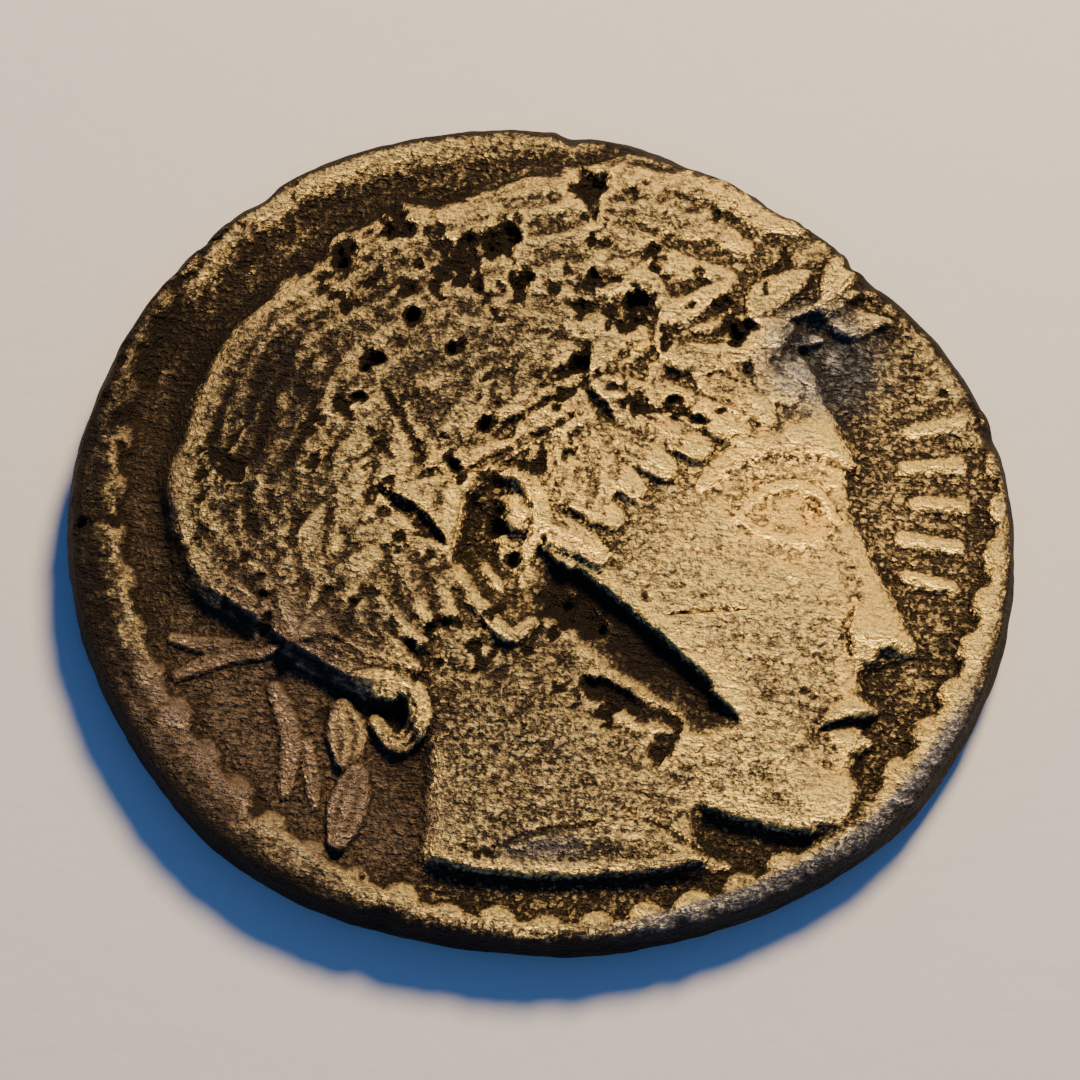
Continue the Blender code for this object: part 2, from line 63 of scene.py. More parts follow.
# The obverse die: struck off the flan's centre, with a ring of beads that runs off the far edge
DIE_CENTRE = (0.00040, 0.00090)
BEAD_RING = 0.00900
BEAD_PITCH = 0.00100
BEAD_WIDTH = 0.00098
BEAD_RISE = 0.00037
RIM_RISE = 0.00029
RIM_INSET = 0.00026
RIM_SLOPE = 0.00018

# The rim that the hammering raised along part of the edge, its direction and spread in degrees
EDGE_RIM_DIRECTION = 140.0
EDGE_RIM_SPREAD = 42.0
EDGE_RIM_WIDTH = 0.00055
EDGE_RIM_RISE = 0.00026

# The head, whose own points are in hundredths of its height from crown to chin
HEAD_HEIGHT = 0.01330
HEAD_CENTRE = (-0.00049, 0.00053)
NECK_RISE = 4.6
FACE_RISE = 5.4
HAIR_RISE = 6.2
LOCK_RISE = 1.7
LOCK_WIDTH = 6.6
CROWN_ROWS = 7
LEAF_LENGTH = 12.0
LEAF_WIDTH = 5.6
LEAF_RISE = 2.2
LEAF_PAIRS = 10
WORN_HEIGHT = 0.00100
WORN_SOFTNESS = 0.00010
WORN_PATCH = (-0.00190, 0.00150)
WORN_PATCH_REACH = 0.00230
WORN_PATCH_SINK = 0.00014

# The row of worn strokes before the face
STROKE_ROW_RADIUS = 0.00745
STROKE_LENGTH = 0.00105
STROKE_WIDTH = 0.00040
STROKE_RISE = 0.00016
STROKE_FROM = -15.0
STROKE_TO = 9.0
STROKE_COUNT = 5

# Old cuts, in the coin's own frame
CUT_FLOOR_CURVE = 2.4
TEST_CUT = ((0.00070, -0.00100), (0.00195, -0.00205), (0.00325, -0.00325))
TEST_CUT_DEPTH = 0.00042
TEST_CUT_STEEP_SIDE = 0.00020
TEST_CUT_LONG_SIDE = 0.00102
HOOK_CUT = ((0.00120, -0.00316), (0.00205, -0.00360), (0.00272, -0.00398), (0.00252, -0.00452))
HOOK_CUT_DEPTH = 0.00022
HOOK_CUT_STEEP_SIDE = 0.00014
HOOK_CUT_LONG_SIDE = 0.00042

# The reverse, whose rim carries the coin
REVERSE_CENTRE = (-0.00015, 0.00005)
REVERSE_FIELD = 0.00735
REVERSE_SINK = 0.00032
REVERSE_SLOPE = 0.00030
REVERSE_BEAD_RING = 0.00680
REVERSE_BEAD_RISE = 0.00016
REVERSE_UNIT = 0.0001
REVERSE_LEAST_SINK = 0.00006
VASE_RISE = 2.4
EAR_OF_CORN_PAIRS = 7
EXERGUE_STROKES = 7

# Fine work: strands in the locks, ribs in the leaves, wandering locks, unevenness of the beads
STRANDS = 3
STRAND_CUT = 0.24
RIB_CUT = 0.16
RIB_SHARE = 0.22
LOCK_WANDER = 0.00032
LOCK_WANDER_SIZE = 0.00160
HAIR_BLUR = 1
BEAD_UNEVENNESS = 0.22
BEAD_WANDER = 0.00007

# Where the hair is: right and lower limits at the back, the lower limit over the face, and their fades
HAIR_BACK_LIMITS = (-0.0002, -0.0026)
HAIR_BACK_FADES = (0.0016, 0.0010)
HAIR_LOWER_LIMIT = 0.0010
HAIR_LOWER_FADE = 0.0012
HAIR_BORDER_FADE = 0.0004

# Roughness of the struck and hammered surface
SWELL_SIZE = 0.00230
SWELL_DEPTH = 0.000030
LUMP_SIZE = 0.00055
LUMP_DEPTH = 0.000022
GRAIN_SIZE = 0.00017
GRAIN_DEPTH = 0.000024
STREAK_SIZE = (0.00070, 0.00013)
STREAK_DEPTH = 0.000030
STREAK_TURN = -8.0
STREAK_UPPER_TURN = 38.0
STREAK_UNEVENNESS = 0.28
STREAK_PATCH_SIZE = 0.00400
STREAKED_FROM = 0.0015
STREAKED_FADE = 0.0030
UPPER_FROM = 0.0035
UPPER_FADE = 0.0015
CRUST_LUMP_SIZE = 0.00046
CRUST_LUMP_DEPTH = 0.000100
RIM_LUMP_SIZE = 0.00042
RIM_LUMP_DEPTH = 0.000044
EDGE_LUMP_SIZE = 0.00090
EDGE_LUMP_DEPTH = 0.000050
EDGE_LUMP_SINK = 0.4
EDGE_LUMP_SHIFT = (0.0004, -0.0006)

# Nicks in the edge: direction and spread in degrees, and depth
EDGE_NICKS = (
    (85.4, 1.6, 0.00016),
    (129.5, 2.2, 0.00012),
    (40.4, 1.2, 0.00012),
    (12, 1.4, 0.00008),
    (248, 1.5, 0.00010),
)

# Corrosion, and its areas: centre, reach and share of the surface that it has eaten
PIT_SIZE = 0.00062
SMALL_PIT_SIZE = 0.00024
PITTING_DEPTH = 0.00019
PITTING_SHARPNESS = 0.8
RAGGED_REACH = 0.00013
RAGGED_SIZE = 0.00042
PITTED_AREAS = (
    ((-0.0024, 0.0052), (0.0034, 0.0022), 0.78),
    ((-0.0040, 0.0030), (0.0022, 0.0020), 0.62),
    ((0.0012, 0.0046), (0.0034, 0.0020), 0.76),
    ((0.0034, 0.0048), (0.0020, 0.0017), 0.66),
    ((0.0014, 0.0026), (0.0028, 0.0013), 0.62),
    ((-0.0012, -0.0020), (0.0028, 0.0013), 0.60),
    ((-0.0050, -0.0018), (0.0022, 0.0028), 0.46),
    ((-0.0084, 0.0016), (0.0012, 0.0030), 0.60),
    ((0.0010, -0.0030), (0.0018, 0.0014), 0.55),
    ((-0.0010, 0.0010), (0.0050, 0.0040), 0.50),
    ((0.0030, 0.0022), (0.0022, 0.0012), 0.74),
    ((0.0006, -0.0019), (0.0011, 0.0008), 1.00),
    ((-0.0038, -0.0021), (0.0009, 0.0010), 1.00),
    ((-0.0060, 0.0006), (0.0014, 0.0030), 0.50),
    ((-0.0034, -0.0034), (0.0016, 0.0010), 0.60),
)

# The large dark pits: centre and radius
DARK_PITS = (
    ((-0.00384, 0.00548), 0.00040),
    ((-0.00284, 0.00618), 0.00044),
    ((-0.00074, 0.00578), 0.00038),
    ((-0.00044, 0.00488), 0.00034),
    ((0.00236, 0.00548), 0.00032),
    ((0.00196, 0.00438), 0.00036),
    ((0.00396, 0.00398), 0.00034),
    ((0.00106, 0.00700), 0.00040),
    ((-0.00250, 0.00420), 0.00022),
    ((-0.00330, 0.00330), 0.00026),
    ((0.00080, 0.00330), 0.00024),
    ((-0.00160, 0.00360), 0.00020),
)
DARK_PIT_DEPTH = 0.00030
PIT_LUMP_SIZE = 0.00026
PIT_LUMP_SHARE = 1.4

# Scratches and old cuts: points, width and depth
SCRATCHES = (
    (((-0.00304, 0.00268), (-0.00264, 0.00200), (-0.00224, 0.00128)), 0.00022, 0.00012),
    (((-0.00314, 0.00068), (-0.00244, 0.00018), (-0.00184, -0.00036)), 0.00040, 0.00026),
    (((-0.00204, 0.00068), (-0.00100, 0.00134), (-0.00004, 0.00188)), 0.00013, 0.00009),
    (((-0.00124, 0.00108), (-0.00020, 0.00170), (0.00096, 0.00228)), 0.00016, 0.00010),
    (((-0.00050, 0.00208), (0.00010, 0.00244), (0.00050, 0.00262)), 0.00020, 0.00010),
    (((0.00236, -0.00186), (0.00330, -0.00176), (0.00426, -0.00172)), 0.00012, 0.00010),
    (((0.00130, -0.00590), (0.00010, -0.00610), (-0.00090, -0.00640)), 0.00018, 0.00007),
    (((0.00160, -0.00560), (0.00260, -0.00610), (0.00330, -0.00650)), 0.00014, 0.00008),
    (((-0.00640, 0.00080), (-0.00610, 0.00160), (-0.00560, 0.00230)), 0.00012, 0.00006),
    (((0.00088, 0.00745), (0.00104, 0.00690), (0.00112, 0.00630)), 0.00050, 0.00024),
    (((0.00560, 0.00130), (0.00640, 0.00100), (0.00700, 0.00060)), 0.00010, 0.00004),
)

# Metal that the cuts pushed up, and lumps of crust in the hollow under the wreath
LUMPS = (
    ((0.00166, -0.00382), (0.00024, 0.00018), 0.00011, -20),
    ((0.00236, -0.00402), (0.00026, 0.00016), 0.00012, -30),
    ((0.00516, 0.00328), (0.00030, 0.00026), 0.00020, 0),
    ((0.00546, 0.00278), (0.00024, 0.00024), 0.00017, 0),
    ((0.00586, 0.00352), (0.00020, 0.00034), 0.00010, 20),
    ((0.00482, 0.00384), (0.00022, 0.00030), 0.00012, -30),
)

# The hollow drilled in the middle of the eye
DRILLED_PUPIL = (0.00540, 0.00028)
PUPIL_RADIUS = 0.00018
PUPIL_DEPTH = 0.00011

# Where the metal has another finish, and where light and shade are painted on it: centre, reach and strength
BROWN_FIELD = (
    ((-0.0058, -0.0036), (0.0026, 0.0028), 1.0),
    ((-0.0036, -0.0056), (0.0020, 0.0016), 0.9),
    ((-0.0077, 0.0008), (0.0007, 0.0030), 0.8),
)
BLUE_TARNISH = (((0.0056, 0.0034), (0.0013, 0.0012), 1.0), ((0.0001, -0.0064), (0.0012, 0.0004), 0.5))
# Worn bright metal and painted light; the largest patch paints the light that falls on the right half
RUBBED_AND_LIT = (
    ((0.0054, 0.0002), (0.0036, 0.0030), 2.0),
    ((-0.0018, 0.0012), (0.0022, 0.0014), 0.8),
    ((0.0040, -0.0046), (0.0026, 0.0016), 0.7),
    ((0.0078, -0.0010), (0.0012, 0.0030), 0.7),
    ((-0.0004, -0.0052), (0.0014, 0.0012), 0.35),
    ((0.0004, 0.0010), (0.0022, 0.0016), 1.0),
    ((0.0036, 0.0054), (0.0022, 0.0011), 0.35),
    ((-0.0002, 0.0000), (0.0008, 0.0012), 1.6),
    ((0.0006, -0.0076), (0.0024, 0.0006), 0.8),
    ((-0.0064, 0.0050), (0.0016, 0.0007), 0.9),
)
# Toning and painted shade, such as the shadows left of the neck, under the neck's cut and on the left half
TONED_AND_SHADED = (
    ((-0.0091, 0.0000), (0.0013, 0.0058), 1.3),
    ((0.0006, -0.0019), (0.0012, 0.0008), 1.0),
    ((-0.0038, -0.0021), (0.0010, 0.0011), 1.0),
    ((-0.0074, 0.0044), (0.0010, 0.0030), 0.8),
    ((-0.0034, 0.0034), (0.0038, 0.0036), 0.90),
    ((-0.0004, -0.0046), (0.0026, 0.0022), 0.40),
    ((-0.0070, -0.0060), (0.0016, 0.0024), 0.60),
    ((-0.0062, 0.0052), (0.0016, 0.0020), 0.7),
    ((-0.0056, -0.0004), (0.0014, 0.0022), 0.6),
    ((-0.0054, 0.0024), (0.0017, 0.0030), 1.6),
    ((-0.0068, 0.0012), (0.0026, 0.0050), 1.0),
    ((-0.0020, 0.0066), (0.0030, 0.0008), 0.2),
    ((0.0015, -0.0027), (0.0013, 0.0008), 0.8),
    ((-0.0006, -0.0031), (0.0015, 0.0006), 0.6),
    ((0.0026, -0.0066), (0.0024, 0.0005), 0.6),
    ((-0.0027, -0.0053), (0.0004, 0.0016), 1.0),
)

# Bands along the edge: direction and spread in degrees, and width. The bevel is tarnished and takes off some
# of the edge's darkening; the rim on the left is painted shade
TARNISHED_BEVEL = (-50.0, 30.0, 0.00062)
SHADED_RIM = (196.0, 52.0, 0.00078)
BAND_FADE = 0.00030
SHADED_RIM_STRENGTH = 1.6
WALL_DARKNESS = 1.6
BEVEL_LIGHTNESS = 0.7

# The share of the worn brightness and painted light on the flat field, and the heights over the field between
# which it grows to all of it
FLAT_RUBBED_AND_LIT = 0.3
RAISED_FROM = -0.00002
RAISED_SPAN = 0.00018

# The mesh: cells across the obverse and across the reverse, which has half as many, and rows down the edge
OBVERSE_CELLS = 272
REVERSE_CELLS = 136
WALL_ROWS = 4

# Crests and hollows, which stand over or under the blurred surface by these heights, and steep slopes. Crests
# are painted lighter, partly as wear and partly as painted highlight; hollows darker, partly as patina and
# partly as painted shade; steep slopes get painted shade
NEAR_BLUR = 5
NEAR_CREST = 0.00005
WIDE_BLUR = 60
WIDE_CREST = 0.00016
STEEP_SHADE = 0.6
STEEP_FROM = 0.45
STEEP_SPAN = 1.1

# Colours of the metal, its tarnish and its crust, from the darkest tone to the brightest
METAL_TONES = (
    (0.0, (0.003, 0.002, 0.002)),
    (0.14, (0.012, 0.008, 0.005)),
    (0.32, (0.050, 0.035, 0.018)),
    (0.56, (0.330, 0.230, 0.086)),
    (0.78, (0.840, 0.585, 0.155)),
    (1.0, (1.000, 0.720, 0.170)),
)
TARNISH_TONES = (
    (0.0, (0.010, 0.010, 0.010)),
    (0.5, (0.100, 0.098, 0.092)),
    (1.0, (0.500, 0.450, 0.350)),
)
CRUST_TONES = (
    (0.0, (0.012, 0.008, 0.005)),
    (0.5, (0.128, 0.084, 0.048)),
    (1.0, (0.420, 0.290, 0.155)),
)
METAL_TINT = (1.0, 0.74, 0.40, 1)
BUMP_DEPTH = 0.00036

# The studio and the camera
PAPER_COLOR = (0.298, 0.281, 0.254, 1)
PAPER_BUMP = 0.00006
PAPER_REACH = 0.6
PAPER_LEVEL = -0.00001
SKY_COLOR = (0.12, 0.33, 1.0, 1)
SKY_STRENGTH = 0.98
KEY_PLACE = (0.027, 0.063, 0.078)
KEY_SIZE = 0.026
KEY_POWER = 0.52
KEY_COLOR = (1.0, 0.78, 0.48)
FILL_PLACE = (0.060, -0.090, 0.050)
FILL_SIZE = 0.060
FILL_POWER = 0.016
FILL_COLOR = (0.36, 0.66, 1.0)
CAMERA_LENS = 150.0
CAMERA_SENSOR = 36.0
CAMERA_TILT = 12.0
VIEW_WIDTH = 0.02143
VIEW_MIDDLE = (-0.00002, -0.00019, 0.0013)
BODY = "root"

# Outlines of the head's masses, and the wreath's stem, in hundredths of the head's height
PROFILE = (
    (43, 20), (46.5, 16.5), (49.3, 11.5), (50.8, 5.5), (50.7, 0.5), (53.2, -7), (57.2, -15),
    (60, -20.8), (59.6, -23.4), (55.4, -24.8), (52.4, -26.4), (52.6, -29.4), (54.2, -31.8),
    (52.4, -33.9), (53.4, -36.2), (51.2, -39.4), (51.9, -44.6), (49.2, -49.4), (43, -51.2),
)
JAW = ((34, -49.5), (22, -45.5), (11, -39), (3, -31), (-1, -20), (-4, -4), (4, 14), (24, 24))
NECK = (
    (35, -44), (30, -46), (28, -49), (29.5, -52.5), (33, -55), (24, -56.6), (8, -57.6),
    (-5, -57), (-13.4, -54.6), (-13.8, -47), (-14, -38), (-18, -29), (-18, -14), (0, -8), (22, -28),
)
BROW_HAIR = ((40, 16), (41.5, 23), (46.5, 27.8), (52.5, 31), (54, 38))
CROWN_HAIR = (
    (47, 45), (36, 50.5), (23, 53), (7, 51.6), (-8, 48.5), (-22, 44), (-35, 36), (-45, 24), (-51, 9),
    (-51.5, -3), (-48, -11.5), (-41, -18.2), (-33.5, -22.5), (-26, -28), (-19, -32),
)
EAR_HAIR = (
    (-13, -31), (-9.5, -24), (-9, -13), (-5, 2), (5, 5), (9, -7), (13, -8), (16, 3), (24, 9), (32, 13.5),
)
HAIRLINE = ((44, 19), (38, 15.5), (30, 11), (22, 6.5), (15, 1.5), (11, -7))
WREATH = (
    (55, 32.5), (42, 28.5), (28, 24.5), (13, 19.5), (-1, 13), (-13, 5), (-22, -4), (-28.5, -13), (-33, -21.5),
)
SKULL_MIDDLE = (-2, 6)

# Locks and ribbons drawn one by one, in the same hundredths: points, width and rise
NAPE_ROLLS_AND_CURL = (
    (((-47, -9), (-42, -15), (-34, -20.5), (-26, -25.5), (-18, -29)), 6.4, 2.0),
    (((-45, -2), (-38, -11), (-31, -17), (-24, -22), (-15, -25.5)), 5.8, 1.9),
    (((-23, -27), (-16, -28), (-13.8, -32.5), (-17, -36.5), (-20.5, -33)), 4.4, 2.4),
)
TIES_AND_LOOSE_LOCKS = (
    (((-35, -22), (-41, -22.2), (-50.4, -20.4)), 3.4, 1.3),
    (((-36, -22.4), (-42.4, -23), (-50, -26)), 3.2, 1.3),
    (((-35.4, -28), (-32.9, -35), (-33.6, -43.5)), 3.8, 1.4),
    (((-30.4, -36), (-30, -40), (-29.2, -45.4)), 2.8, 1.2),
    (((-24.4, -36), (-23.2, -40), (-23.6, -43)), 3.0, 1.2),
    (((-25.4, -31.4), (-24.6, -35.2), (-24.8, -38.6)), 7.2, 2.4),
    (((-23.2, -41.2), (-24.2, -45), (-25.8, -50.6)), 7.0, 2.6),
)


def smooth_step(value):
    """0 below 0, 1 above 1, and a smooth climb between."""
    share = np.clip(value, 0, 1)
    return share * share * (3 - 2 * share)


def curve(points, closed=False, steps=6):
    """A smooth line through the points, with this many steps from each to the next."""
    p = np.asarray(points, float)
    if closed:
        p = np.vstack((p[-1:], p, p[:2]))
    else:
        p = np.vstack((2 * p[0] - p[1], p, 2 * p[-1] - p[-2]))
    t = np.linspace(0, 1, steps, endpoint=False)[:, None]
    spans = []
    for a, b, c, d in zip(p[:-3], p[1:-2], p[2:-1], p[3:]):
        bend = (2 * a - 5 * b + 4 * c - d) * t**2 + (3 * b - 3 * c + d - a) * t**3
        spans.append(0.5 * (2 * b + (c - a) * t + bend))
    line = np.vstack(spans)
    return np.vstack((line, line[:1] if closed else p[-2:-1]))


def point_on(line, share):
    """The point this share of the way through a line's points."""
    place = np.clip(share, 0, 1) * (len(line) - 1)
    first = min(int(place), len(line) - 2)
    return line[first] + (line[first + 1] - line[first]) * (place - first)


def nearest(at, line):
    """Each point's distance from the line, how far along it that is, 0 to 1, and the side, -1 or 1."""
    best = np.full(len(at), np.inf)
    along = np.zeros(len(at))
    side = np.ones(len(at))
    walked = 0.0
    for start, move in zip(line[:-1], np.diff(line, axis=0)):
        length = math.hypot(*move)
        reach = at - start
        share = np.clip(reach @ move / length**2, 0, 1)
        gap = np.hypot(*(reach - share[:, None] * move).T)
        closer = gap < best
        best[closer] = gap[closer]
        along[closer] = walked + share[closer] * length
        side[closer] = np.sign(move[0] * reach[closer, 1] - move[1] * reach[closer, 0])
        walked += length
    return best, along / walked, side


def inside(at, outline):
    """True for the points that the closed outline goes round."""
    found = np.zeros(len(at), bool)
    for (x0, y0), (x1, y1) in zip(outline[:-1], outline[1:]):
        if y0 != y1:
            crosses = (y0 > at[:, 1]) != (y1 > at[:, 1])
            found ^= crosses & (at[:, 0] < x0 + (at[:, 1] - y0) * (x1 - x0) / (y1 - y0))
    return found


def noise(at, size, seed):
    """Smooth uneven values from -1 to 1, which change over this size."""
    corner = np.random.default_rng(seed).uniform(-1, 1, (61, 61))
    place = at / size + 977.31
    cell = np.floor(place).astype(int)
    x, y = smooth_step(place - cell).T
    i, j = cell.T % 61
    k, m = (i + 1) % 61, (j + 1) % 61
    low = corner[i, j] + (corner[k, j] - corner[i, j]) * x
    high = corner[i, m] + (corner[k, m] - corner[i, m]) * x
    return low + (high - low) * y


def turned(at, degrees):
    """The points seen from axes that are turned by this angle."""
    c, s = math.cos(math.radians(degrees)), math.sin(math.radians(degrees))
    return at @ np.array(((c, -s), (s, c)))


def roughness(at, size, seed, layers=3):
    """Uneven values from about -1 to 1: layers of noise, each half as large and as strong as the last."""
    total = np.zeros(len(at))
    for layer in range(layers):
        total += noise(turned(at, 33 + 47 * layer), size / 2**layer, seed + layer) / 2**layer
    return total / 1.4


def degrees_from(direction, middle):
    """How far directions in radians lie from one in degrees, from -180 to 180 degrees."""
    return (np.degrees(direction) - middle + 180) % 360 - 180


def outward(reach, direction):
    """The points that lie this far from the middle, in these directions."""
    return np.column_stack((reach * np.cos(direction), reach * np.sin(direction)))


def from_die_centre(at):
    return np.hypot(*(at - DIE_CENTRE).T)


def patches(at, areas):
    """How much of the strength of soft round areas reaches each point."""
    total = np.zeros(len(at))
    for centre, reach, strength in areas:
        away = (((at - centre) / reach) ** 2).sum(1)
        total = np.maximum(total, strength * np.exp(-away))
    return total


class Relief:
    """Heights over a field, at many points. Lengths and heights are in units of one size, from an origin."""

    def __init__(self, at, unit=1.0, origin=(0, 0)):
        self.at = (at - np.asarray(origin)) / unit
        self.unit = unit
        self.height = np.zeros(len(at))
        self.ground = self.height.copy()

    def near(self, line, reach):
        low, high = line.min(0) - reach, line.max(0) + reach
        return np.flatnonzero(((self.at >= low) & (self.at <= high)).all(1))

    def swell(self, outline, *rises):
        """Raises what a closed outline holds, by each rise within its own run from the edge."""
        line = curve(outline, closed=True)
        near = self.near(line, 0)
        near = near[inside(self.at[near], line)]
        depth = nearest(self.at[near], line)[0]
        lift = sum(rise * np.sin(math.pi / 2 * np.clip(depth / run, 0, 1)) for rise, run in rises)
        self.height[near] = np.maximum(self.height[near], lift)

    def ridge(self, points, width, rise, ends=1.0):
        """Adds a rounded ridge, or with a negative rise a groove. ends is its width there, as a share."""
        line = curve(points)
        near = self.near(line, width)
        gap, along, _ = nearest(self.at[near], line)
        half = width / 2 * (ends + (1 - ends) * np.sin(np.pi * along) ** 0.7)
        self.height[near] += rise * np.clip(1 - (gap / half) ** 2, 0, 1)

    def bump(self, centre, size, rise, turn=0.0):
        """Adds a soft oval bump, or with a negative rise a hollow. size is its half-length and half-width."""
        near = self.near(np.array([centre], float), 2.4 * max(size))
        x, y = (self.at[near] - centre).T
        c, s = math.cos(math.radians(turn)), math.sin(math.radians(turn))
        away = ((c * x + s * y) / size[0]) ** 2 + ((c * y - s * x) / size[1]) ** 2
        self.height[near] += rise * np.exp(-away)

    def lay(self, points, width, rise, form):
        """Lays a lock, leaf or ribbon on the ground: its rounded top replaces what else lies there."""
        line = curve(points)
        near = self.near(line, width)
        gap, along, side = nearest(self.at[near], line)
        across = np.clip(gap / np.maximum(width / 2 * form(along), 1e-6), 0, 1)
        top = self.ground[near] + rise * np.sqrt(1 - across**2) * FINE_TOPS[form](across * side)
        covered = smooth_step((1 - across) / 0.22)
        self.height[near] += (top - self.height[near]) * covered

    def cut(self, points, depth, steep_side, long_side):
        """Sinks a cut with a steep wall on its left and a long floor that curves up on its right."""
        line = curve(points)
        near = self.near(line, max(steep_side, long_side))
        gap, _, side = nearest(self.at[near], line)
        share = np.clip(gap / np.where(side > 0, steep_side, long_side), 0, 1)
        self.height[near] -= depth * (1 - share ** np.where(side > 0, 1.0, CUT_FLOOR_CURVE))


def lock_form(along):
    return 0.35 + 0.65 * np.sin(np.pi * np.clip(0.12 + 0.8 * along, 0, 1)) ** 0.8


def leaf_form(along):
    return np.sin(np.pi * np.clip(along, 0, 1) ** 0.85) ** 0.75


def lock_top(across):
    return 1 - STRAND_CUT * np.sin(math.pi / 2 * STRANDS * across) ** 2


def leaf_top(across):
    return 1 - RIB_CUT * np.exp(-((across / RIB_SHARE) ** 2))


FINE_TOPS = {lock_form: lock_top, leaf_form: leaf_top}


def add_masses(relief):
    relief.swell(NECK, (0.60 * NECK_RISE, 3.6), (0.40 * NECK_RISE, 16))
    relief.swell(PROFILE + JAW, (0.55 * FACE_RISE, 3.2), (0.45 * FACE_RISE, 22))
    relief.swell(BROW_HAIR + CROWN_HAIR + EAR_HAIR, (0.45 * HAIR_RISE, 4.2), (0.55 * HAIR_RISE, 34))


def add_neck(relief):
    relief.bump((9, -39), (19, 5.5), 0.9, turn=-52)
    relief.bump((-8, -42), (6, 13), 0.5)
    relief.ridge(((-11.5, -53.2), (-4, -55), (8, -55.6), (20, -55), (28, -53.6)), 3.0, 0.7, ends=0.5)


def add_cheek_and_jaw(relief):
    relief.bump((31, -17), (14, 12), 1.1)
    relief.bump((20, -33), (13, 8), 0.5, turn=-30)
    relief.bump((30, 4), (8, 6), -0.4)


def add_eye(relief):
    relief.bump((42, -1), (9, 6), -2.2)
    relief.ridge(((51, 5.5), (46.5, 8.6), (40, 9.2), (33, 6.8), (28, 2)), 5.5, 1.3, ends=0.4)
    relief.bump((42.2, -2.3), (5.4, 4.0), 2.0)
    relief.bump((44.2, -1.9), (1.7, 1.9), -1.5)
    relief.ridge(((48.2, -3.4), (46, 0.2), (42, 2.2), (37, 0.9), (33, -3.2)), 2.2, 1.15, ends=0.5)
    relief.ridge(((47.2, -4.6), (44, -6.4), (39, -6.2), (33.5, -3.6)), 2.0, 0.8, ends=0.5)


def add_nose(relief):
    relief.ridge(((47.5, 1), (49, -7), (50.5, -15)), 6, -0.7, ends=0.5)
    relief.bump((53.2, -20.4), (3.9, 3.0), 1.3)
    relief.ridge(((50.4, -16.6), (49, -20), (49.8, -23.8)), 2.0, -1.2, ends=0.4)
    relief.bump((55.2, -23.2), (2.0, 0.9), -1.1, turn=12)


def add_mouth_and_chin(relief):
    relief.ridge(((54.5, -33.9), (50, -33.6), (45.5, -34.6)), 1.9, -1.4, ends=0.5)
    relief.ridge(((53.8, -31.6), (50, -31.2), (46, -33.2)), 3.6, 0.9, ends=0.3)
    relief.ridge(((53, -36.4), (49.8, -36.8), (46.4, -35.6)), 3.8, 1.0, ends=0.3)
    relief.bump((44.6, -35), (1.6, 1.6), -0.8)
    relief.ridge(((51.8, -40.2), (49, -40.8), (45.5, -39.8)), 3.0, -0.6, ends=0.5)
    relief.bump((47, -45.2), (5.2, 4.4), 1.1)


def add_ear(relief):
    rim = (
        (1.5, -9), (4.2, -3), (1.6, 2.6), (-4.2, 3.8), (-8.6, -1),
        (-8.4, -9), (-4.6, -16.5), (-0.6, -21), (2.6, -19),
    )
    relief.bump((-2.2, -9), (6.5, 11), -0.9, turn=-12)
    relief.ridge(rim, 3.4, 1.9, ends=0.8)
    relief.ridge(((-4.8, -1), (-4.8, -8), (-2, -13.5)), 2.6, 1.1, ends=0.5)
    relief.bump((-0.4, -8.4), (2.2, 4.6), -1.0)
    relief.bump((3, -11.5), (1.8, 2.2), 1.0)
    relief.bump((0.2, -18.6), (2.6, 3.0), 1.1)


def crown_point(share, depth):
    """A point in the hair: its shares of the way from brow to nape, and in to the skull's middle."""
    edge = point_on(curve(CROWN_HAIR), share)
    return edge + (np.array(SKULL_MIDDLE) - edge) * depth


def above_wreath(point):
    x, y = np.array(WREATH[::-1], float).T
    return point[1] > np.interp(point[0], x, y) + 1


def add_crown_locks(relief):
    """Long waved locks that follow the crown from brow to nape, row within row."""
    for row in reversed(range(CROWN_ROWS)):
        count = 9 - row
        for number in reversed(range(count)):
            start = (number - 0.5 * (row % 2)) / count
            shares = np.linspace(start, start + 1.8 / count, 9)
            shares = shares[(shares >= 0) & (shares <= 1)]
            sway = 0.024 * np.sin(2 * math.pi * (shares - start) * count / 1.8)
            points = [crown_point(share, 0.055 + 0.125 * row + swing) for share, swing in zip(shares, sway)]
            if len(points) > 3 and above_wreath(points[len(points) // 2]):
                relief.lay(points, LOCK_WIDTH - 0.2 * row, LOCK_RISE, lock_form)


def add_nape_locks(relief):
    """Locks drawn down behind the ear, the hair rolled up along the nape, and a curl that hangs from it."""
    stem = curve(WREATH)
    for t in np.linspace(0, 1, 5):
        top = point_on(stem, 0.60 + 0.32 * t) + (2, -1)
        foot = np.array((-9.5 - 8 * t, -17 - 10 * t))
        relief.lay((top, (top + foot) / 2 + (-2, -1.5), foot), 5.4, LOCK_RISE, lock_form)
    for points, width, rise in NAPE_ROLLS_AND_CURL:
        relief.lay(points, width, rise, lock_form)


def add_brow_locks(relief):
    """Short locks combed back from the brow, the temple and over the ear."""
    hairline, stem = curve(HAIRLINE), curve(WREATH)
    for t in np.linspace(1, 0, 9):
        root = point_on(hairline, t)
        top = point_on(stem, 0.12 + 0.46 * t) + (0, -3.5)
        middle = (root + top) / 2 + np.array((-3.5, 1.0)) * (1 - 0.3 * t)
        relief.lay((root + (1.5, -1.8), root + (-1.8, 0.6), middle, top), 6.4, LOCK_RISE + 0.2, lock_form)
    for t in np.linspace(0, 1, 5):
        top = point_on(stem, 0.40 + 0.17 * t) + (0, -3)
        foot = np.array((12 - 20 * t, 9 * t - 3))
        relief.lay((top, (top + foot) / 2 + (2.4, -1.0), foot), 5.4, LOCK_RISE, lock_form)
    for t in np.linspace(0.06, 0.92, 7):
        relief.bump(point_on(hairline, t) + (0.6, -0.2), (2.0, 2.0), 0.9)


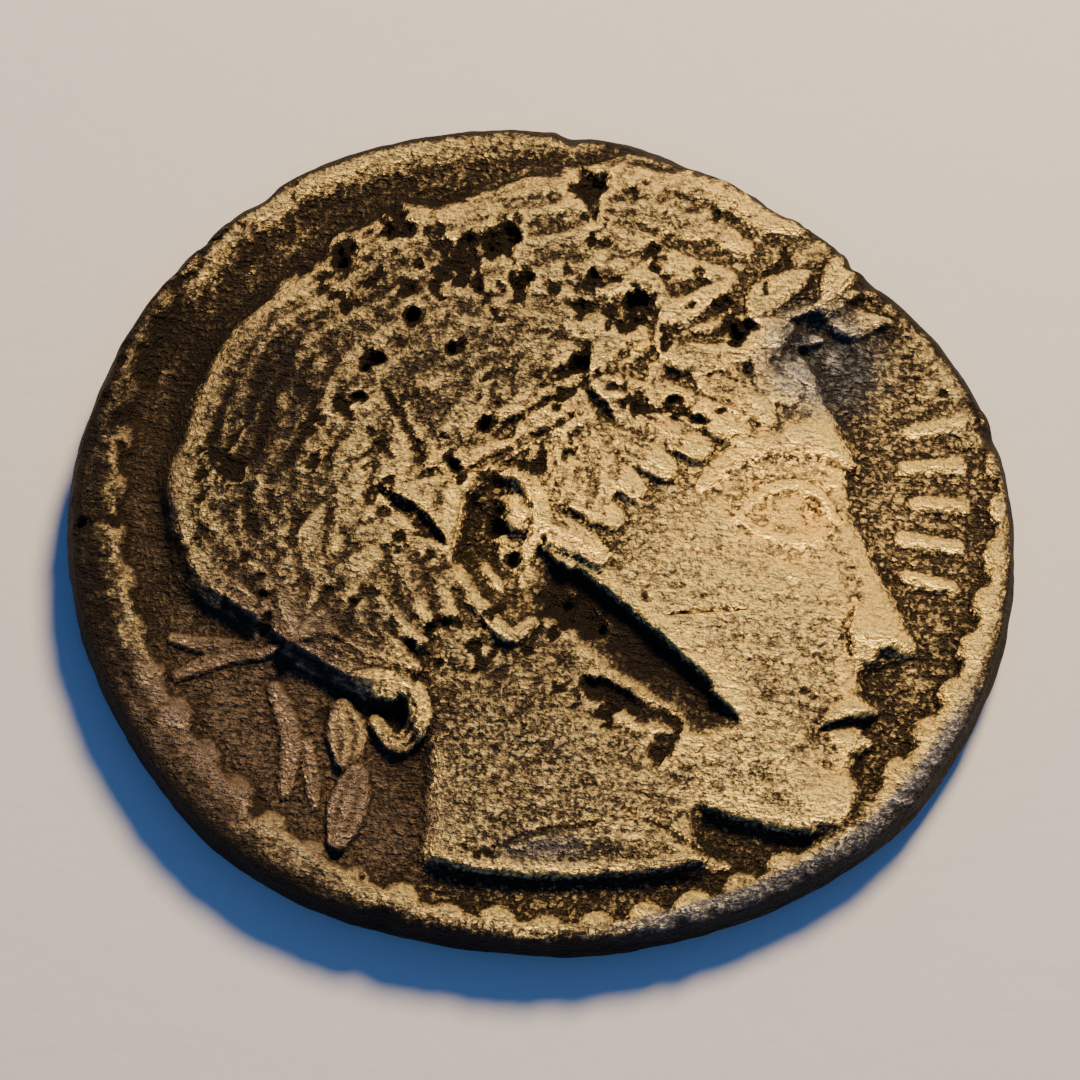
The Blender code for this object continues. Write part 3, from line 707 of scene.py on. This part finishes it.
def add_wreath(relief):
    stem = curve(WREATH)
    relief.ridge(WREATH, 2.2, 1.2)
    for t in np.linspace(0.02, 0.92, LEAF_PAIRS):
        root = point_on(stem, t + 0.075)
        ahead = point_on(stem, t) - root
        ahead = ahead / math.hypot(*ahead)
        aside = np.array((-ahead[1], ahead[0]))
        for hand in (-1, 1):
            middle = root + (0.46 * ahead + 0.32 * hand * aside) * LEAF_LENGTH
            tip = root + (ahead + 0.45 * hand * aside) * LEAF_LENGTH
            relief.lay((root, middle, tip), LEAF_WIDTH, LEAF_RISE, leaf_form)


def add_ties(relief):
    """The wreath's knot and ribbon ends, and the loose locks and knobs that hang behind the neck."""
    relief.ground = np.zeros_like(relief.ground)
    for points, width, rise in TIES_AND_LOOSE_LOCKS:
        relief.lay(points, width, rise, lock_form)
    relief.bump((-34, -22), (3.2, 2.6), 1.8)


def wandering(at):
    """The points as the hair has them: its locks wander, while the face stays as it was drawn."""
    wander = np.column_stack([roughness(at, LOCK_WANDER_SIZE, seed, 2) for seed in (151, 161)])
    return at + LOCK_WANDER * wander * hair_share(at)[:, None]


def hair_share(at):
    """1 on the hair and what is tied in it, 0 on the face and the border."""
    x, y = at.T
    behind = smooth_step((HAIR_BACK_LIMITS[0] - x) / HAIR_BACK_FADES[0])
    over_nape = smooth_step((y - HAIR_BACK_LIMITS[1]) / HAIR_BACK_FADES[1])
    hair = np.maximum(behind * over_nape, smooth_step((y - HAIR_LOWER_LIMIT) / HAIR_LOWER_FADE))
    return hair * smooth_step((BEAD_RING - BEAD_WIDTH / 2 - from_die_centre(at)) / HAIR_BORDER_FADE)


def head_relief(at):
    relief = Relief(wandering(at), HEAD_HEIGHT / 100, HEAD_CENTRE)
    for add in (add_masses, add_neck, add_cheek_and_jaw, add_eye, add_nose, add_mouth_and_chin, add_ear):
        add(relief)
    relief.ground = relief.height.copy()
    for add in (add_crown_locks, add_nape_locks, add_brow_locks, add_wreath, add_ties):
        add(relief)
    return relief.height * relief.unit


def bead_ring(at, centre, ring, rise):
    """A ring of worn beads, no two quite alike, and each point's distance from the ring's centre."""
    x, y = (at - centre).T
    radius = np.hypot(x, y)
    beads = round(2 * math.pi * ring / BEAD_PITCH)
    place = np.arctan2(y, x) / (2 * math.pi) * beads
    number = np.floor(place).astype(int) % beads
    draw = np.random.default_rng(31)
    wear = 1 - BEAD_UNEVENNESS * draw.uniform(0, 1, beads)[number]
    wander = BEAD_WANDER * draw.uniform(-1, 1, beads)[number]
    away = np.hypot((place % 1 - 0.5) * BEAD_PITCH, radius - ring - wander) / (BEAD_WIDTH / 2)
    return rise * wear * np.sqrt(np.clip(1 - away**2, 0, 1)), radius


def border_relief(at):
    """The obverse's ring of beads, worn into the rim outside it."""
    beads, radius = bead_ring(at, DIE_CENTRE, BEAD_RING, BEAD_RISE)
    return np.maximum(beads, RIM_RISE * smooth_step((radius - BEAD_RING + RIM_INSET) / RIM_SLOPE + 0.5))


def stroke_relief(at):
    """Short worn strokes in a row: bars that point to the die's centre, every other one short with a dot."""
    relief = Relief(at, 1.0, DIE_CENTRE)
    for number, degrees in enumerate(np.linspace(STROKE_FROM, STROKE_TO, STROKE_COUNT)):
        out = np.array((math.cos(math.radians(degrees)), math.sin(math.radians(degrees))))
        half = out * STROKE_LENGTH / 2 * (1.0 if number % 2 else 0.6)
        middle = out * STROKE_ROW_RADIUS
        relief.ridge((middle - half, middle, middle + half), STROKE_WIDTH, STROKE_RISE)
        if number % 2 == 0:
            dot_size = (STROKE_WIDTH * 0.4, STROKE_WIDTH * 0.4)
            relief.bump(middle + out * STROKE_LENGTH * 0.55, dot_size, STROKE_RISE)
    return relief.height


def wear_down(height, at):
    """Rubs off what stands above the worn height, which is lowest on the hair over the ear."""
    away = ((at - WORN_PATCH) ** 2).sum(1) / WORN_PATCH_REACH**2
    over = (height - WORN_HEIGHT + WORN_PATCH_SINK * np.exp(-away)) / WORN_SOFTNESS
    return height - WORN_SOFTNESS * np.log1p(np.exp(np.clip(over, -30, 30)))


def edge_rim(at, from_edge):
    """The rim that the hammering raised along part of the flan's edge."""
    away = degrees_from(np.arctan2(at[:, 1], at[:, 0]), EDGE_RIM_DIRECTION)
    across = smooth_step(1.6 - from_edge / EDGE_RIM_WIDTH)
    return EDGE_RIM_RISE * across * np.exp(-((away / EDGE_RIM_SPREAD) ** 4))


def struck_height(at, from_edge):
    field = border_relief(at) + stroke_relief(at) + edge_rim(at, from_edge)
    return wear_down(np.maximum(field, head_relief(at)), at)


def damage_height(at):
    """What befell the struck face: test cuts, corrosion, scratches, crust and roughness."""
    relief = Relief(at)
    relief.cut(TEST_CUT, TEST_CUT_DEPTH, TEST_CUT_STEEP_SIDE, TEST_CUT_LONG_SIDE)
    relief.cut(HOOK_CUT, HOOK_CUT_DEPTH, HOOK_CUT_STEEP_SIDE, HOOK_CUT_LONG_SIDE)
    add_damage(relief, at)
    return relief.height + surface_roughness(at)


def add_damage(relief, at):
    """Corrosion pits, scratches, the metal that cuts pushed up, and crust."""
    dark, eaten = pitting(at)
    lumps = 1 + PIT_LUMP_SHARE * roughness(at, PIT_LUMP_SIZE, 201)
    relief.height -= np.maximum(DARK_PIT_DEPTH * dark, PITTING_DEPTH * eaten) * lumps
    bent = Relief(at + 0.3 * ragged(at))
    for points, width, depth in SCRATCHES:
        bent.ridge(points, width, -depth, ends=0.15)
    for centre, size, rise, turn in LUMPS:
        bent.bump(centre, size, rise, turn)
    bent.bump(DRILLED_PUPIL, (PUPIL_RADIUS, PUPIL_RADIUS), -PUPIL_DEPTH)
    relief.height += bent.height


def ragged(at):
    """How far the ragged edges of pits and cuts wander from their smooth shapes."""
    return RAGGED_REACH * np.column_stack([roughness(at, RAGGED_SIZE, seed, 4) for seed in (71, 81)])


def pitting(at):
    """Where corrosion has eaten the metal, 0 to 1: the large dark pits, and the small ones among them."""
    sunk = Relief(at + ragged(at))
    for centre, radius in DARK_PITS:
        sunk.bump(centre, (radius, radius * 0.8), 1.0, turn=40)
    sponge = roughness(at, SMALL_PIT_SIZE, 171)
    dark = sunk.height * (1 + 0.9 * sponge)
    eaten = 0.75 * roughness(at, PIT_SIZE, 91) + 0.6 * sponge - 0.80 + patches(at, PITTED_AREAS)
    dark = np.clip((dark - 0.20) / 0.90, 0, 1)
    eaten = np.clip(eaten / 0.80, 0, 1)
    return dark**PITTING_SHARPNESS, eaten**PITTING_SHARPNESS


def surface_roughness(at):
    """The unevenness of the whole face: slow swells, lumps, grain, and streaks where metal has flowed."""
    x, y = at.T
    streaked = smooth_step((x + 0.4 * np.abs(y) - STREAKED_FROM) / STREAKED_FADE)
    uneven = 1 + STREAK_UNEVENNESS * noise(at, STREAK_PATCH_SIZE, 5)
    streaks = roughness(turned(at, STREAK_TURN) / STREAK_SIZE, 1.0, 51) * uneven
    steep = roughness(turned(at, STREAK_UPPER_TURN) / STREAK_SIZE, 1.0, 61)
    upper = smooth_step((y - UPPER_FROM) / UPPER_FADE)
    rim = smooth_step((from_die_centre(at) - BEAD_RING + 2 * RIM_INSET) / RIM_SLOPE)
    return (
        SWELL_DEPTH * roughness(at, SWELL_SIZE, 11)
        + LUMP_DEPTH * roughness(at, LUMP_SIZE, 21)
        + GRAIN_DEPTH * roughness(at, GRAIN_SIZE, 41)
        + STREAK_DEPTH * streaked * (streaks * (1 - upper) + steep * upper)
        + CRUST_LUMP_DEPTH * patches(at, PITTED_AREAS) * roughness(at, CRUST_LUMP_SIZE, 191)
        + RIM_LUMP_DEPTH * rim * roughness(at, RIM_LUMP_SIZE, 101)
    )


def add_vase(relief):
    half = ((6, -29), (4.5, -25), (13, -15), (17, -3), (13.5, 8), (6.5, 13), (5, 21), (9, 26))
    mirrored = tuple((-x, y) for x, y in reversed(half))
    relief.swell(half + mirrored, (0.5 * VASE_RISE, 2.5), (0.5 * VASE_RISE, 14))
    for hand in (-1, 1):
        relief.ridge(((hand * 7, 22), (hand * 17, 20), (hand * 19, 12), (hand * 14, 6)), 3.0, 1.4)


def add_ears_of_corn(relief):
    for hand in (-1, 1):
        relief.ridge(((hand * 33, -32), (hand * 37, -10), (hand * 38, 20)), 2.2, 1.2)
        for y in np.linspace(-4, 24, EAR_OF_CORN_PAIRS):
            for lean in (-1, 1):
                root = np.array((hand * 37.5, y))
                tip = root + (lean * 6.5, 7.5)
                relief.lay((root, (root + tip) / 2 + (lean, -1), tip), 4.0, 1.6, leaf_form)


def add_exergue(relief):
    relief.ridge(((-46, -35), (0, -35.6), (46, -35)), 2.0, 1.2)
    for x in np.linspace(-24, 24, EXERGUE_STROKES):
        relief.ridge(((x, -41), (x, -44), (x, -47 - 2 * (abs(x) < 10))), 2.6, 1.2)


def reverse_sink(at):
    """How far the reverse lies in from the rim that the coin rests on."""
    beads, radius = bead_ring(at, REVERSE_CENTRE, REVERSE_BEAD_RING, REVERSE_BEAD_RISE)
    sink = REVERSE_SINK * smooth_step((REVERSE_FIELD - radius) / REVERSE_SLOPE)
    relief = Relief(at, REVERSE_UNIT, REVERSE_CENTRE)
    add_vase(relief)
    add_ears_of_corn(relief)
    add_exergue(relief)
    raised = np.maximum(relief.height * relief.unit, beads)
    return np.maximum(sink - raised, np.minimum(sink, REVERSE_LEAST_SINK))


def flan_radius(direction):
    """The outline's distance from the middle: an oval with the hammer's flats and bulges."""
    across, up = FLAN_LENGTH / 2, FLAN_WIDTH / 2
    radius = across * up / np.hypot(up * np.cos(direction), across * np.sin(direction))
    for middle, spread, share in FLATS_AND_BULGES:
        away = degrees_from(direction, middle)
        radius = radius * (1 + share * np.exp(-0.5 * (away / spread) ** 2))
    return radius


def rough_radius(direction, level):
    """The outline at a level of the edge, -1 to 1: the hammered outline with its lumps and nicks."""
    reach = flan_radius(direction)
    around = outward(reach, direction) + level[:, None] * EDGE_LUMP_SHIFT
    reach = reach + EDGE_LUMP_DEPTH * (roughness(around, EDGE_LUMP_SIZE, 111) - EDGE_LUMP_SINK)
    for middle, spread, depth in EDGE_NICKS:
        away = degrees_from(direction, middle)
        reach = reach - depth * np.exp(-((away / spread) ** 2)) * smooth_step((level + 1) / 2)
    return reach + WALL_BULGE * np.cos(level * math.pi / 2)


def edge_drop(from_edge, run):
    """How far a rounded edge of this size lies under the face beside it."""
    return run * (1 - np.sqrt(1 - (1 - np.clip(from_edge / run, 0, 1)) ** 2))


def edge_round(direction):
    away = degrees_from(direction, WIDE_EDGE_DIRECTION)
    return EDGE_ROUND + WIDE_EDGE_ROUND * np.exp(-0.5 * (away / WIDE_EDGE_SPREAD) ** 2)


def disc_grid(cells):
    """The points of a square grid, turned into a disc's: share of the radius and direction of each."""
    steps = np.linspace(-1, 1, cells + 1)
    u, v = (axis.ravel() for axis in np.meshgrid(steps, steps))
    wide = np.abs(u) >= np.abs(v)
    side = np.where(wide, u, v)
    slant = np.where(wide, v, u) / np.where(side == 0, 1, side)
    turn = np.where(wide, slant, 2 - slant) * math.pi / 4
    return np.abs(side), np.arctan2(side * np.sin(turn), side * np.cos(turn))


def border_loop(cells):
    """The numbers of a grid's border points, in order round it."""
    side = np.arange(cells)
    row = cells + 1
    return np.concatenate((side, cells + side * row, row * row - 1 - side, (cells - side) * row))


def blurred(height, cells, times):
    """A grid's heights, each averaged with its neighbours this many times."""
    grid = height.reshape(cells + 1, cells + 1)
    for _ in range(times):
        grid = np.pad(grid, 1, mode="edge")
        grid = (grid[:-2] + 2 * grid[1:-1] + grid[2:]) / 4
        grid = (grid[:, :-2] + 2 * grid[:, 1:-1] + grid[:, 2:]) / 4
    return grid.ravel()


def face_points(cells, height_over, level):
    """One face's points and how raised the metal is there, from about -1 in a recess to 1 on a crest, less on
    steep slopes. The tone turns this into wear and patina, and into painted highlights on raised metal and
    painted shade in recesses and on steep slopes.
    """
    share, direction = disc_grid(cells)
    reach = rough_radius(direction, np.full(len(direction), float(level)))
    at = outward(reach * share, direction)
    height = height_over(at, reach * (1 - share), direction, cells)
    # Raised metal is painted lighter, with painted highlights on lips and ridges; hollows darker, as patina
    # and painted shade
    crest = (height - blurred(height, cells, NEAR_BLUR * cells // OBVERSE_CELLS + 1)) / NEAR_CREST
    crest = crest + (height - blurred(height, cells, WIDE_BLUR * cells // OBVERSE_CELLS)) / WIDE_CREST
    slope = np.hypot(*np.gradient(height.reshape(cells + 1, cells + 1), FLAN_LENGTH / cells)).ravel()
    # Painted shade on steep slopes
    steep_shade = STEEP_SHADE * smooth_step((slope - STEEP_FROM) / STEEP_SPAN)
    return np.column_stack((at, height)), np.clip(level * crest, -0.5, 1) - steep_shade


def obverse_top(at, from_edge, direction, cells):
    struck = FIELD_TOP + struck_height(at, from_edge) - edge_drop(from_edge, edge_round(direction))
    struck += hair_share(at) * (blurred(struck, cells, HAIR_BLUR) - struck)
    return struck + damage_height(at)


def reverse_foot(at, from_edge, direction, cells):
    uneven = 0.5 * GRAIN_DEPTH * (1 + roughness(at, GRAIN_SIZE * 2, 131))
    sunk = reverse_sink(at) + uneven * smooth_step(reverse_sink(at) / REVERSE_LEAST_SINK)
    return sunk + edge_drop(from_edge, np.full(len(at), EDGE_ROUND))


def grid_faces(cells, first, flip):
    row = cells + 1
    corner = (first + np.arange(cells)[:, None] * row + np.arange(cells)).ravel()
    faces = np.column_stack((corner, corner + 1, corner + 1 + row, corner + row))
    return faces[:, ::-1] if flip else faces


def wall_rows(rim, lip, first):
    """The edge's rows of points between a face's rim and the heights below it, and the numbers of each."""
    direction = np.arctan2(rim[:, 1], rim[:, 0])
    rows, numbers = [], []
    for row in range(1, WALL_ROWS):
        level = np.full(len(rim), 1 - 2 * row / WALL_ROWS)
        height = lip + (rim[:, 2] - lip) * (level + 1) / 2
        rows.append(np.column_stack((outward(rough_radius(direction, level), direction), height)))
        numbers.append(first + (row - 1) * len(rim) + np.arange(len(rim)))
    return rows, numbers


def joined_faces(rings, base):
    """Faces down the edge from ring to ring, then to the reverse's border, which has half as many points."""
    for upper, lower in zip(rings[:-1], rings[1:]):
        yield np.column_stack((upper, lower, np.roll(lower, -1), np.roll(upper, -1)))
    even, odd, after = rings[-1][::2], rings[-1][1::2], np.roll(rings[-1], -2)[::2]
    following = np.roll(base, -1)
    for corners in ((even, base, odd), (odd, base, following), (odd, following, after)):
        yield np.column_stack(corners)


def coin_mesh():
    top, top_crest = face_points(OBVERSE_CELLS, obverse_top, 1)
    foot, foot_crest = face_points(REVERSE_CELLS, reverse_foot, -1)
    rim, base = border_loop(OBVERSE_CELLS), border_loop(REVERSE_CELLS)
    lip = foot[base, 2]
    lip = np.column_stack((lip, (lip + np.roll(lip, -1)) / 2)).ravel()
    faced = len(top) + len(foot)
    walls, numbers = wall_rows(top[rim], lip, faced)
    groups = [grid_faces(OBVERSE_CELLS, 0, False), grid_faces(REVERSE_CELLS, len(top), True)]
    groups.extend(joined_faces([rim] + numbers, base + len(top)))
    points = np.vstack([top, foot] + walls)
    crest = np.concatenate((top_crest, foot_crest, np.full(len(points) - faced, -0.5)))
    shown = points - (*flan_middle(), 0)
    mesh = bpy.data.meshes.new("struck flan")
    mesh.from_pydata(shown.tolist(), [], [face for group in groups for face in group.tolist()])
    mesh.shade_smooth()
    number = np.arange(len(points))
    keep_finish(mesh, points, crest, above=number < len(top), wall=number >= faced)
    return mesh


def keep_finish(mesh, points, crest, above, wall):
    """Keeps what the metal's finish and its painted light and shade need at each point. above is true on the
    obverse, wall on the edge.
    """
    at, height = points[:, :2], points[:, 2] - FIELD_TOP
    bevel = edge_band(at, *TARNISHED_BEVEL)
    raised = smooth_step((height - RAISED_FROM) / RAISED_SPAN)
    # Worn brightness and painted light, less on the flat field, minus toning, painted shade, the darker cut
    # floors and the left rim's painted shade
    rubbed_lit_and_shaded = patches(at, RUBBED_AND_LIT) * (FLAT_RUBBED_AND_LIT + (1 - FLAT_RUBBED_AND_LIT) * raised)
    rubbed_lit_and_shaded = rubbed_lit_and_shaded - patches(at, TONED_AND_SHADED) - cut_floors(at) - SHADED_RIM_STRENGTH * edge_band(at, *SHADED_RIM)
    keep(mesh, "crest", crest)
    keep(mesh, "height", np.clip(height / WORN_HEIGHT, -1, 1) * above)
    keep(mesh, "brown_field", patches(at, BROWN_FIELD) * above)
    keep(mesh, "blue_tarnish", np.maximum(patches(at, BLUE_TARNISH), bevel) * above)
    # The edge's darkening: the wall, and painted shade on the rounding of the face's edge, lessened on the
    # tarnished bevel
    keep(mesh, "edge", np.maximum(WALL_DARKNESS * wall, lower_edge(at)) * (1 - BEVEL_LIGHTNESS * bevel))
    keep(mesh, "pits", smooth_step(np.maximum(*pitting(at)) / 0.8) * above)
    keep(mesh, "rubbed_lit_and_shaded", rubbed_lit_and_shaded * above)


def cut_floors(at):
    """1 on the floors of the test cuts, 0 outside them."""
    relief = Relief(at)
    relief.cut(TEST_CUT, 1.0, TEST_CUT_STEEP_SIDE, TEST_CUT_LONG_SIDE)
    relief.cut(HOOK_CUT, 1.0, HOOK_CUT_STEEP_SIDE, HOOK_CUT_LONG_SIDE)
    return np.clip(-relief.height, 0, 1)


def place_in_flan(at):
    """Each point's direction from the middle, and its distance from the outline."""
    direction = np.arctan2(at[:, 1], at[:, 0])
    return direction, flan_radius(direction) - np.hypot(at[:, 0], at[:, 1])


def lower_edge(at):
    """1 on the rounding of the face's edge, 0 inside it: where the edge is painted in shade."""
    direction, from_edge = place_in_flan(at)
    return smooth_step(1.5 - 1.5 * from_edge / edge_round(direction))


def edge_band(at, middle, spread, width):
    """1 on a stretch of the edge round a direction in degrees, 0 elsewhere."""
    direction, from_edge = place_in_flan(at)
    away = degrees_from(direction, middle)
    return np.exp(-((away / spread) ** 4)) * smooth_step((width - from_edge) / BAND_FADE)


def flan_middle():
    """The middle of the outline's box, which goes over the origin."""
    direction = np.linspace(-math.pi, math.pi, 1441)
    outline = outward(flan_radius(direction) + WALL_BULGE, direction)
    return (outline.min(0) + outline.max(0)) / 2


def keep(mesh, name, values):
    """Keeps a number at each of the mesh's points, for the metal's finish."""
    mesh.attributes.new(name, "FLOAT", "POINT").data.foreach_set("value", np.asarray(values, np.float32))


class Socket:
    """A shader value that Python's operators work on: each adds its Math node."""

    def __init__(self, finish, socket):
        self.finish, self.socket = finish, socket

    def math(self, operation, *values):
        return self.finish.node("ShaderNodeMath", {"operation": operation}, dict(enumerate(values)))

    def __add__(self, other):
        return self.math("ADD", self, other)

    __radd__ = __add__

    def __sub__(self, other):
        return self.math("SUBTRACT", self, other)

    def __rsub__(self, other):
        return self.math("SUBTRACT", other, self)

    def __mul__(self, other):
        return self.math("MULTIPLY", self, other)

    __rmul__ = __mul__

    def clamped(self):
        return self.math("MINIMUM", self.math("MAXIMUM", self, 0.0), 1.0)

    def between(self, low, high):
        """0 at the low value, 1 at the high one, and a smooth climb between."""
        settings = {"interpolation_type": "SMOOTHSTEP"}
        sockets = {"Value": self, "From Min": low, "From Max": high}
        return self.finish.node("ShaderNodeMapRange", settings, sockets)


class Finish:
    """A material and its nodes."""

    def __init__(self, name):
        self.material = bpy.data.materials.new(name)
        self.material.use_nodes = True
        self.tree = self.material.node_tree
        self.shader = self.tree.nodes["Principled BSDF"]

    def node(self, kind, settings=None, sockets=None, output=0):
        """Adds a node with its settings, then its sockets' values or links, and gives one of its outputs."""
        node = self.tree.nodes.new(kind)
        for name, value in (settings or {}).items():
            if name == "stops":
                self.set_stops(node.color_ramp, value)
            else:
                setattr(node, name, value)
        for name, value in (sockets or {}).items():
            self.put(node.inputs[name], value)
        return Socket(self, node.outputs[output])

    def set_stops(self, ramp, stops):
        for number, (place, color) in enumerate(stops):
            element = ramp.elements[number] if number < 2 else ramp.elements.new(place)
            element.position = place
            element.color = (*color, 1)

    def put(self, socket, value):
        if isinstance(value, Socket):
            self.tree.links.new(value.socket, socket)
        else:
            socket.default_value = value

    def set(self, **values):
        """Sets the shader's own sockets, with spaces written as underscores."""
        for name, value in values.items():
            self.put(self.shader.inputs[name.replace("_", " ")], value)

    def kept(self, name):
        return self.node("ShaderNodeAttribute", {"attribute_name": name}, output="Fac")

    def noise(self, place, scale, detail=2.0, roughness=0.5):
        sockets = {"Vector": place, "Scale": scale, "Detail": detail, "Roughness": roughness}
        return self.node("ShaderNodeTexNoise", {}, sockets, "Fac")

    def ramp(self, share, stops):
        return self.node("ShaderNodeValToRGB", {"stops": stops}, {"Fac": share}, "Color")

    def bumped(self, height, strength, depth):
        sockets = {"Strength": strength, "Distance": depth, "Height": height}
        return self.node("ShaderNodeBump", {}, sockets)

    def mixed(self, share, first, second):
        """A colour between two: the first at 0, the second at 1."""
        return self.node("ShaderNodeMix", {"data_type": "RGBA"}, {0: share, 6: first, 7: second}, 2)

    def stretched(self, place, turn, scale):
        sockets = {"Vector": place, "Rotation": (0, 0, math.radians(turn)), "Scale": scale}
        return self.node("ShaderNodeMapping", {"vector_type": "TEXTURE"}, sockets)


def toned_silver():
    """Worn silver: bright on the crests, brown to black in the hollows, with a coarse grain. Part of the
    crests' brightness is painted highlight, part of the hollows' darkness painted shade, and painted light
    and shade lie on the edge and in patches.
    """
    finish = Finish("toned silver")
    place = finish.node("ShaderNodeTexCoord", output="Object")
    names = ("crest", "height", "brown_field", "blue_tarnish", "edge", "pits", "rubbed_lit_and_shaded")
    crest, height, brown, blue, edge, pits, rubbed_lit_and_shaded = (finish.kept(name) for name in names)
    grain = finish.noise(place, 12500, 3.0, 0.7)
    fine = finish.noise(place, 24000, 2.0, 0.6)
    blotch = finish.noise(place, 900, 3.0, 0.6)
    nodule = finish.noise(place, 5400, 2.0, 0.55)
    cells = ((nodule - 0.5) * (nodule - 0.5) * 64).clamped()
    streak = finish.noise(finish.stretched(place, -8, (3.2, 0.7, 1.0)), 7000, 2.0, 0.6)
    sand = grain.between(0.34, 0.66)
    # Painted light and shade in the tone: crests lighter, hollows and steep slopes darker, the edge darker,
    # and the lit and shaded patches
    tone = 0.12 + crest * 0.36 + height * 0.08 + sand * 0.30 + cells * 0.28
    tone = tone + (streak - 0.5) * 0.20 + (blotch - 0.5) * 0.16 - edge * 0.34 - brown * 0.04 - blue * 0.19
    tone = tone + rubbed_lit_and_shaded * (0.17 + cells * 0.14 + (streak - 0.5) * 0.30) - pits * (0.70 - sand * 0.25)
    tone = tone.clamped()
    metal, tarnish, crust = (finish.ramp(tone, tones) for tones in (METAL_TONES, TARNISH_TONES, CRUST_TONES))
    color = finish.mixed(brown.between(0.15, 0.75), metal, crust)
    color = finish.mixed(blue.between(0.1, 0.8) * 0.85, color, tarnish)
    lumps = nodule * 0.6 + cells * 0.12 + grain * 0.6 + streak * 0.5 + fine * 0.2
    finish.set(Base_Color=color, Metallic=(tone * 1.4).clamped() * 0.92)
    finish.set(Normal=finish.bumped(lumps, 1.0, BUMP_DEPTH), Specular_IOR_Level=0.15)
    finish.set(Specular_Tint=METAL_TINT, Roughness=0.66 - tone * 0.24 + (fine - 0.5) * 0.16)
    return finish.material


def pale_paper():
    finish = Finish("pale paper")
    place = finish.node("ShaderNodeTexCoord", output="Object")
    fibre = finish.noise(place, 1400, 4.0, 0.6)
    finish.set(Base_Color=PAPER_COLOR, Roughness=0.95, Normal=finish.bumped(fibre, 0.35, PAPER_BUMP))
    return finish.material


def add_coin():
    mesh = coin_mesh()
    mesh.materials.append(toned_silver())
    coin = bpy.data.objects.new("struck_coin", mesh)
    bpy.context.scene.collection.objects.link(coin)
    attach(coin, BODY)
    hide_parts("coin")


def add_floor():
    mesh = bpy.data.meshes.new("floor")
    signs = ((-1, -1), (1, -1), (1, 1), (-1, 1))
    mesh.from_pydata([(x * PAPER_REACH, y * PAPER_REACH, PAPER_LEVEL) for x, y in signs], [], [(0, 1, 2, 3)])
    mesh.materials.append(pale_paper())
    floor = bpy.data.objects.new("floor", mesh)
    bpy.context.scene.collection.objects.link(floor)


def add_light(name, place, size, power, color):
    light = bpy.data.lights.new(name, "AREA")
    light.shape = "DISK"
    light.size, light.energy, light.color = size, power, color
    lamp = bpy.data.objects.new(name, light)
    lamp.location = place
    lamp.rotation_euler = (-lamp.location).to_track_quat("-Z", "Y").to_euler()
    bpy.context.scene.collection.objects.link(lamp)


def add_studio():
    world = bpy.data.worlds.new("soft studio")
    world.use_nodes = True
    background = world.node_tree.nodes["Background"]
    background.inputs["Color"].default_value = SKY_COLOR
    background.inputs["Strength"].default_value = SKY_STRENGTH
    bpy.context.scene.world = world
    add_light("key", KEY_PLACE, KEY_SIZE, KEY_POWER, KEY_COLOR)
    add_light("fill", FILL_PLACE, FILL_SIZE, FILL_POWER, FILL_COLOR)


def add_camera():
    """A camera over the coin, tilted so that its lower edge shows."""
    lens = bpy.data.cameras.new("camera")
    lens.lens, lens.sensor_width = CAMERA_LENS, CAMERA_SENSOR
    lens.clip_start = 0.001
    camera = bpy.data.objects.new("camera", lens)
    tilt = math.radians(CAMERA_TILT)
    distance = VIEW_WIDTH * CAMERA_LENS / CAMERA_SENSOR
    x, y, z = VIEW_MIDDLE
    camera.location = (x, y - distance * math.sin(tilt), z + distance * math.cos(tilt))
    camera.rotation_euler = (tilt, 0, 0)
    bpy.context.scene.collection.objects.link(camera)
    bpy.context.scene.camera = camera


add_coin()
add_floor()
add_studio()
add_camera()
